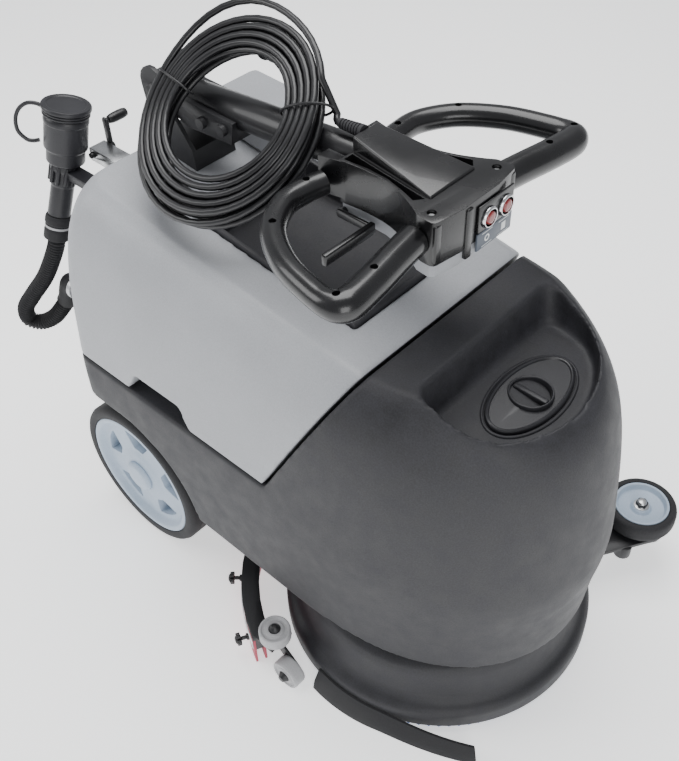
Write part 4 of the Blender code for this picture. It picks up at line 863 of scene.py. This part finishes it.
# ================================================================ drain hose at the right rear corner
# A screw cap with a finger strap closes the moulded spout; a pipe in a slotted clip and a rubber cuff
# lead to corrugated hose, which loops down behind the machine to the tank outlet and its steel clamp.
SPOUT_TOP, SPOUT_FOOT = at(-0.153, -0.090, 0.660), at(-0.159, -0.108, 0.580)
PIPE_FOOT, CUFF_FOOT = at(-0.164, -0.136, 0.505), at(-0.166, -0.148, 0.470)
ELBOW_FOOT, ELBOW_RISE = at(-0.1760, -0.1560, 0.3520), at(-0.1716, -0.1522, 0.3610)
SPOUT_WAY = (SPOUT_TOP - SPOUT_FOOT).normalized()
CAP_SEAT = SPOUT_FOOT.lerp(SPOUT_TOP, 0.82) + SPOUT_WAY * 0.0003
reach = (CAP_SEAT - SPOUT_FOOT).length - 0.0003
spout = spun(soften([(0.0, 0.0), (0.0250, 0.0), (0.0262, 0.0020), (0.0262, 0.0180), (0.0270, 0.0195),
                     (0.0296, 0.0215), (0.0296, reach - 0.010), (0.0304, reach - 0.009),
                     (0.0304, reach - 0.0045), (0.0290, reach), (0.0, reach)], 0.0015),
             SPOUT_FOOT, SPOUT_WAY, 64)
pipe_way, pipe_long = (SPOUT_FOOT - PIPE_FOOT).normalized(), (SPOUT_FOOT - PIPE_FOOT).length
pipe = spun(soften([(0.0, 0.0), (0.0160, 0.0), (0.0160, pipe_long * 0.55), (0.0170, pipe_long * 0.58),
                    (0.0170, pipe_long * 0.80), (0.0200, pipe_long * 0.86), (0.0200, pipe_long * 1.05),
                    (0.0, pipe_long * 1.08)], 0.001), PIPE_FOOT, pipe_way, 48)
clip = block((-0.1650, REAR + 0.0140), (-0.1215, -0.0985), (0.5605, 0.5735), 0.002, 3)
# slotted clip: upright fins round the pipe with gaps between them
fins = []
aside = pipe_way.orthogonal().normalized()
for k in range(7):
    t = math.radians(150.0 + 34.0 * k)
    foot = (PIPE_FOOT.lerp(SPOUT_FOOT, 0.62)
            + (aside * math.cos(t) + pipe_way.cross(aside) * math.sin(t)) * 0.0182)
    fins.append(spun(soften([(0.0, 0.0), (0.0030, 0.0), (0.0034, 0.020), (0.0026, 0.026), (0.0, 0.026)],
                            0.0008), foot, pipe_way, 16))
finish(union([spout, pipe, clip] + fins), "drain_spout_moulded", SATIN_PP, "chassis",
       ["drain_spout"], 40)


def smooth_path(knots, count):
    """Points along a smooth curve through the knots."""
    knots = [Vector(k) for k in knots]
    ends = [2 * knots[0] - knots[1]] + knots + [2 * knots[-1] - knots[-2]]
    out = []
    for i in range(count + 1):
        t = i / count * (len(knots) - 1)
        k = min(int(t), len(knots) - 2)
        f = t - k
        a, b, c, d = ends[k:k + 4]
        out.append(0.5 * (2 * b + (c - a) * f + (2 * a - 5 * b + 4 * c - d) * f * f
                          + (3 * b - a - 3 * c + d) * f ** 3))
    return out


def tube(points, radii, sides):
    """A round tube of changing radius along the points, made a mesh."""
    obj = round_line("tube", points, 1.0, sides)
    for point, radius in zip(obj.data.splines[0].points, radii):
        point.radius = radius
    only(obj)
    bpy.ops.object.convert(target="MESH")
    obj = bpy.context.object
    bpy.ops.object.mode_set(mode="EDIT")
    bpy.ops.mesh.select_all(action="SELECT")
    bpy.ops.mesh.remove_doubles(threshold=0.00002)
    bpy.ops.mesh.normals_make_consistent(inside=False)
    bpy.ops.object.mode_set(mode="OBJECT")
    return obj


# cap with two grip grooves under its flange, and the finger strap that bows out to the spout
cap_long = (SPOUT_TOP - CAP_SEAT).length
cap_line = soften([(0.0, 0.0), (0.0300, 0.0), (0.0318, 0.0010), (0.0318, 0.0030), (0.0302, 0.0034),
                   (0.0302, 0.0046), (0.0320, 0.0050), (0.0320, 0.0068), (0.0304, 0.0072), (0.0304, 0.0084),
                   (0.0335, 0.0090), (0.0335, cap_long - 0.0020), (0.0322, cap_long), (0.0270, cap_long),
                   (0.0255, cap_long - 0.0012), (0.0, cap_long - 0.0012)], 0.0006)
drain_cap = spun(cap_line, CAP_SEAT, SPOUT_WAY, 72)
out = Vector((-0.7071, -0.7071, 0.0))
out = (out - SPOUT_WAY * out.dot(SPOUT_WAY)).normalized()
strap_line = smooth_path([CAP_SEAT + out * far + SPOUT_WAY * up for far, up in
                          ((0.0300, 0.0060), (0.0400, 0.0090), (0.0520, 0.0070), (0.0620, -0.0030),
                           (0.0660, -0.0180), (0.0630, -0.0340), (0.0520, -0.0440), (0.0430, -0.0450),
                           (0.0348, -0.0425))], 48)
strap = tube(strap_line, [0.0028] * len(strap_line), 5)
finish(union([drain_cap, strap]), "drain_cap_ringed", SATIN_PP, "drain_cap",
       ["drain_cap"], 40)

# rubber cuff with a lighter moulded band
cuff_way = (PIPE_FOOT - CUFF_FOOT).normalized()
cuff_long = (PIPE_FOOT - CUFF_FOOT).length * 0.985
cuff = spun(soften([(0.0, 0.0), (0.0175, 0.0), (0.0187, 0.0012), (0.0187, 0.0140), (0.0176, 0.0155),
                    (0.0176, 0.0240), (0.0189, 0.0252), (0.0189, 0.0320), (0.0172, cuff_long),
                    (0.0, cuff_long)], 0.0012), CUFF_FOOT, cuff_way, 56)
finish(cuff, "drain_cuff_rubber", EPDM, "chassis", ["drain_cuff"], 40)
band = spun(soften([(0.0177, 0.0180), (0.0182, 0.0180), (0.0182, 0.0212), (0.0177, 0.0212)], 0.0004,
                   closed=True), CUFF_FOOT, cuff_way, 48)
finish(band, "drain_cuff_band", ROLLER_NYLON, "chassis")

# corrugated hose: evenly spaced points along the loop, thick and thin by turns
HOSE_RING = 0.0042
knots = [CUFF_FOOT.lerp(PIPE_FOOT, -0.012), CUFF_FOOT.lerp(PIPE_FOOT, -0.30), at(-0.173, -0.159, 0.438),
         at(-0.188, -0.172, 0.402), at(-0.208, -0.189, 0.368), at(-0.222, -0.200, 0.342),
         at(-0.224, -0.199, 0.318), at(-0.211, -0.187, 0.311), at(-0.194, -0.172, 0.322),
         ELBOW_FOOT.lerp(ELBOW_RISE, -0.80), ELBOW_FOOT.lerp(ELBOW_RISE, -0.04)]
coarse = smooth_path(knots, 200)
run = [0.0]
for a, b in zip(coarse, coarse[1:]):
    run.append(run[-1] + (b - a).length)
steps = int(run[-1] / HOSE_RING) * 6
hose_points, hose_radii = [], []
for k in range(steps + 1):
    goal = run[-1] * k / steps
    j = min(len(run) - 2, max(i for i in range(len(run)) if run[i] <= goal + 1e-9))
    part = (goal - run[j]) / max(1e-9, run[j + 1] - run[j])
    hose_points.append(coarse[j].lerp(coarse[j + 1], part))
    hose_radii.append((0.0104, 0.0108, 0.0122, 0.0127, 0.0122, 0.0108)[k % 6])
finish(tube(hose_points, hose_radii, 6), "drain_hose_corrugated", EPDM, "chassis",
       ["drain_hose"], 70)

# the outlet leaves the tank along X: elbow, steel clamp and collar share its middle line
OUTLET_Y, OUTLET_Z = -0.150, 0.392
bend = [ELBOW_FOOT]
bend += smooth_path([ELBOW_RISE, at(-0.1665, OUTLET_Y, 0.380), at(-0.1590, OUTLET_Y, OUTLET_Z),
                     at(-0.1550, OUTLET_Y, OUTLET_Z)], 16)
bend.append(at(-0.1464, OUTLET_Y, OUTLET_Z))
finish(tube(bend, [0.0146] + [0.0150] * (len(bend) - 2) + [0.0146], 8), "drain_elbow_rubber", EPDM,
       "chassis", ["drain_elbow"], 50)
band = [(0.0113, -0.0040), (0.0172, -0.0040), (0.0178, -0.0034), (0.0178, -0.0016), (0.0170, -0.0010)]
clamp = spun(soften(band + [(r, -h) for r, h in reversed(band)], 0.0004, closed=True),
             at(-0.1418, OUTLET_Y, OUTLET_Z), "X", 56)
screw = block((-0.1448, -0.1388), (-0.1585, -0.1420), (0.4085, 0.4140), 0.0012, 2)
finish(union([clamp, screw]), "hose_clamp_band", ZINC, "chassis", ["hose_clamp"], 40)
collar = spun(soften([(0.0, 0.0), (0.0107, 0.0), (0.0107, 0.0300), (0.0150, 0.0320), (0.0150, 0.0500),
                      (0.0, 0.0500)], 0.0008), at(-0.1378, OUTLET_Y, OUTLET_Z), Vector((1, 0, 0)), 48)
finish(collar, "tank_outlet_collar", ROLLER_NYLON, "chassis")


# ================================================================ lifting crank at the rear
# A bent steel crank with a turning rubber knob; it pulls the squeegee up through a cable.
CRANK_X, CRANK_Y, CRANK_Z, THROW = -0.134, -0.064, 0.585, 0.038
CRANK, ACROSS = at(CRANK_X, CRANK_Y, CRANK_Z), Vector((0, 1, 0))
shaft = spun(soften([(0.0, -0.0200), (0.0040, -0.0200), (0.0040, 0.0125), (0.0080, 0.0127), (0.0080, 0.0184),
                     (0.0050, 0.0205), (0.0, 0.0215)], 0.0008), CRANK, ACROSS, 28)
web = block((CRANK_X - 0.0055, CRANK_X + 0.0055), (CRANK_Y + 0.0128, CRANK_Y + 0.0182),
            (CRANK_Z, CRANK_Z + 0.0430), 0.0024, 3)
stud = spun(soften([(0.0, 0.0), (0.0052, 0.0), (0.0052, 0.003), (0.0030, 0.004), (0.0030, 0.038),
                    (0.0, 0.0385)], 0.0006), CRANK + Vector((0, 0.0130, THROW)), ACROSS, 20)
finish(union([shaft, web, stud]), "crank_arm_forged", POWDER_COAT, "crank", ["crank_arm"], 40)
knob = spun(soften([(0.0033, 0.0), (0.0050, 0.0), (0.0064, 0.004), (0.0070, 0.012), (0.0068, 0.024),
                    (0.0056, 0.0300), (0.0033, 0.0310)], 0.0012, closed=True),
            CRANK + Vector((0, 0.0200, THROW)), ACROSS, 40)
finish(knob, "crank_knob_turned", KNOB_PHENOLIC, "crank_knob", ["crank_knob"], 50)


# ================================================================ console
# Two gloss ABS half shells round the switch box: a hood that slopes from the handle tube, a front
# with upright pillars, a lighter lower shell, and two plates with two push buttons.

# ABS from a polished mould is glossy, the lower shell is from an etched one; the plate is anodised
GLOSS_ABS = speckled("injection_moulded_abs_black", "#0C0C0D", "#151517", (0.22, 0.32), 1.1, 0.03, coat=0.2)
GREY_ABS = speckled("injection_moulded_abs_grey", "#8E9094", "#A0A2A6", (0.38, 0.48), 1.1, 0.03)
LABEL = speckled("anodised_label_plate_grey_blue", "#4C535E", "#59616C", (0.35, 0.45), 1.0, 0.01)
# clear red polycarbonate lens, a chrome bezel that mirrors the room, and flat printing ink
RED_LENS = speckled("push_button_polycarbonate_red", "#6E1414", "#8E1E1C", (0.18, 0.26), 1.0, 0.01, coat=0.5)
CHROME = speckled("button_bezel_chrome", "#C9CACC", "#E2E3E4", (0.12, 0.20), 1.0, 0.005, metal=1.0)
PRINT_WHITE = speckled("screen_print_white", "#DADCDC", "#ECEEEE", (0.45, 0.55), 1.0, 0.01)
FRONT = 0.450
BUTTONS, BUTTON_Z, BUTTON_R = (("start", 0.011), ("stop", 0.040)), 0.7010, 0.0098
SCREW_X, SCREW_Y = 0.4330, 0.0545
shell_line = [(p.x, p.y) for p in smooth_path(
    [(0.2955, 0.0420, 0), (0.330, 0.0395, 0), (0.360, 0.0410, 0), (0.385, 0.0475, 0), (0.408, 0.0580, 0),
     (0.424, 0.0670, 0)], 20)]
shell_line += [(0.434, 0.0688), (0.444, 0.0690), (0.4475, 0.0670), (0.4490, 0.0640), (0.4515, 0.0470),
               (0.454, 0.0300)]
shell_line += [(x, -y) for x, y in reversed(shell_line)]
console = lofted([[(x, y, height) for x, y in shell_line] for height in (0.6766, 0.7300)])
for sign in (-1, 1):
    # rib beside the handle tube, and the hollow between the outer edge and the hood
    rib = ((0.2703, 0.0303), (0.2703, 0.0487), (0.302, 0.0412), (0.302, 0.0303))
    shaped(console, lofted([[(x, sign * y, h) for x, y in rib] for h in (0.6828, 0.7288)]), "UNION")
    hollow = ((0.2990, 0.0235), (0.2990, 0.0375), (0.330, 0.0350), (0.360, 0.0365), (0.385, 0.0430),
              (0.405, 0.0500), (0.413, 0.0400))
    shaped(console, lofted([[(x, sign * y, h) for x, y in hollow] for h in (0.7182, 0.7600)]))
ease_edges(console, 0.0016, 3, 35.0)
hood = lofted([[(0.2958, 0.0205, 0.7170), (0.2958, -0.0205, 0.7170), (0.418, -0.0378, 0.7170),
                (0.418, 0.0378, 0.7170)],
               [(0.2958, 0.0200, 0.7488), (0.2958, -0.0200, 0.7488), (0.418, -0.0375, 0.7324),
                (0.418, 0.0375, 0.7324)]])
ease_edges(hood, 0.0022, 4)
settle(console)
settle(hood)
for sign in (-1, 1):
    # wells for the screws beside the hood
    shaped(console, drum(0.0052, -0.006, 0.010, at(SCREW_X, sign * SCREW_Y, 0.7300), "Z", 28))
for name, y in BUTTONS:
    shaped(console, drum(BUTTON_R, -0.014, 0.02, at(FRONT, y, BUTTON_Z), "X", 36))
# upright pillars: two deep ones at the ends and a shallow one beside the buttons
pillars = [console, hood]
for y, low, near, deep in ((-0.0630, 0.6790, FRONT - 0.012, 0.0120), (-0.0195, 0.6640, FRONT - 0.002, 0.0088),
                           (0.0620, 0.6790, FRONT - 0.012, 0.0120)):
    pillars.append(block((near, near + deep), (y - 0.0050, y + 0.0050), (low, 0.7262), 0.002, 3))
finish(union(pillars), "console_shell", GLOSS_ABS, "handle", ["console_body"], 32)
for label, side in (("right", -1), ("left", 1)):
    screw = soften([(0.0, 0.0), (0.0042, 0.0), (0.0042, 0.0018), (0.0034, 0.0026), (0.0, 0.0028)], 0.0004)
    finish(spun(screw, at(SCREW_X, side * SCREW_Y, 0.7242), "Z", 24), "console_screw_" + label, ZINC,
           "handle")
eased("console_lower_shell", "console_base", GREY_ABS, "handle", 0.0012, 2)

# two plates one above the other on the front: black round the buttons, grey-blue below them
PLATE_X, PLATE_Y = (FRONT + 0.0044, FRONT + 0.0072), (-0.0060, 0.0550)
plate = block(PLATE_X, PLATE_Y, (0.6868, 0.7200), 0.0010, 2)
for name, y in BUTTONS:
    shaped(plate, drum(BUTTON_R, -0.02, 0.02, at(FRONT + 0.005, y, BUTTON_Z), "X", 36))
finish(plate, "switch_plate", GLOSS_ABS, "handle", (), 35)
finish(block(PLATE_X, PLATE_Y, (0.6642, 0.6862), 0.0010, 2), "label_plate", LABEL, "handle",
       ["button_panel"], 35)
for label, y in BUTTONS:
    bezel = soften([(BUTTON_R, 0.0), (0.0125, 0.0), (0.0125, 0.0020), (0.0112, 0.0038), (BUTTON_R, 0.0038)],
                   0.0006, closed=True)
    finish(spun(bezel, at(FRONT + 0.0073, y, BUTTON_Z), "X", 48), "bezel_" + label, CHROME, "handle")
    lens = soften([(0.0, -0.0110), (0.0077, -0.0110), (0.0077, 0.0030), (0.0068, 0.0044), (0.0045, 0.0050),
                   (0.0, 0.0050)], 0.0008)
    finish(spun(lens, at(FRONT + 0.0070, y, BUTTON_Z), "X", 40), "push_button_" + label, RED_LENS,
           "button_" + label, ["button_" + label], 40)
# two printed rules with a simple symbol between them under each button, no lettering
INK_X = (FRONT + 0.0072, FRONT + 0.0075)
for k, (name, y) in enumerate(BUTTONS):
    marks = [block(INK_X, (y - 0.0090, y + 0.0090), z, 0) for z in ((0.6668, 0.6674), (0.6830, 0.6836))]
    if name == "stop":
        marks.append(block(INK_X, (y - 0.0035, y + 0.0035), (0.6704, 0.6796), 0))
    else:
        marks.append(spun([(0.0026, 0.0), (0.0042, 0.0), (0.0042, 0.0003), (0.0026, 0.0003), (0.0026, 0.0)],
                          at(INK_X[0], y, 0.6750), "X", 24))
    finish(union(marks), "printed_symbol_%d" % (k + 1), PRINT_WHITE, "handle")


# ================================================================ hand loops and switch levers
# D-shaped loops in gloss ABS, moulded in two halves held by sunk screws, thicker at the front grip;
# under each loop a lever switches the brush while it is squeezed towards the loop.
LOOP_Z, LOOP_R = 0.702, 0.0170
LOOP_KNOTS = ((0.2825, 0.0545), (0.2785, 0.0760), (0.2800, 0.1130), (0.3060, 0.1540), (0.3520, 0.1840),
              (0.4000, 0.1980), (0.4300, 0.2010), (0.4420, 0.1900), (0.4390, 0.1550), (0.4310, 0.1100),
              (0.4250, 0.0728))
for label, side in (("right", -1), ("left", 1)):
    path = smooth_path([at(x, side * y, LOOP_Z) for x, y in LOOP_KNOTS], 110)
    last = len(path) - 1
    radii = [LOOP_R * (0.84 + 0.20 * min(1.0, max(0.0, (i / last - 0.55) / 0.15))) for i in range(last + 1)]
    grip = tube(path, radii, 10)
    for share in (0.10, 0.30, 0.64, 0.82):
        # conical screw hole in the upper half
        k = int(share * last)
        shaped(grip, spun([(0.0, -0.004), (0.0040, -0.004), (0.0046, 0.02), (0.0, 0.02)],
                          path[k] + Vector((0, 0, radii[k] * 0.96)), "Z", 24))
    finish(grip, "hand_loop_" + label, GLOSS_ABS, "handle", ["grip_loop_" + label], 45)
    paddle = block((0.3432, 0.3508), sorted((side * 0.0447, side * 0.1248)), (0.6602, 0.6748), 0.0022, 3)
    arm = block((0.2965, 0.3490), sorted((side * 0.0442, side * 0.0498)), (0.6607, 0.6713), 0.0018, 3)
    pin = spun(soften([(0.0, 0.0), (0.0045, 0.0), (0.0045, 0.0238), (0.0, 0.0240)], 0.0006),
               at(0.300, side * 0.0254, 0.6660), Vector((0, side, 0)), 24)
    finish(union([paddle, arm, pin]), "switch_lever_" + label, GLOSS_ABS, "lever_" + label,
           ["lever_" + label], 40)
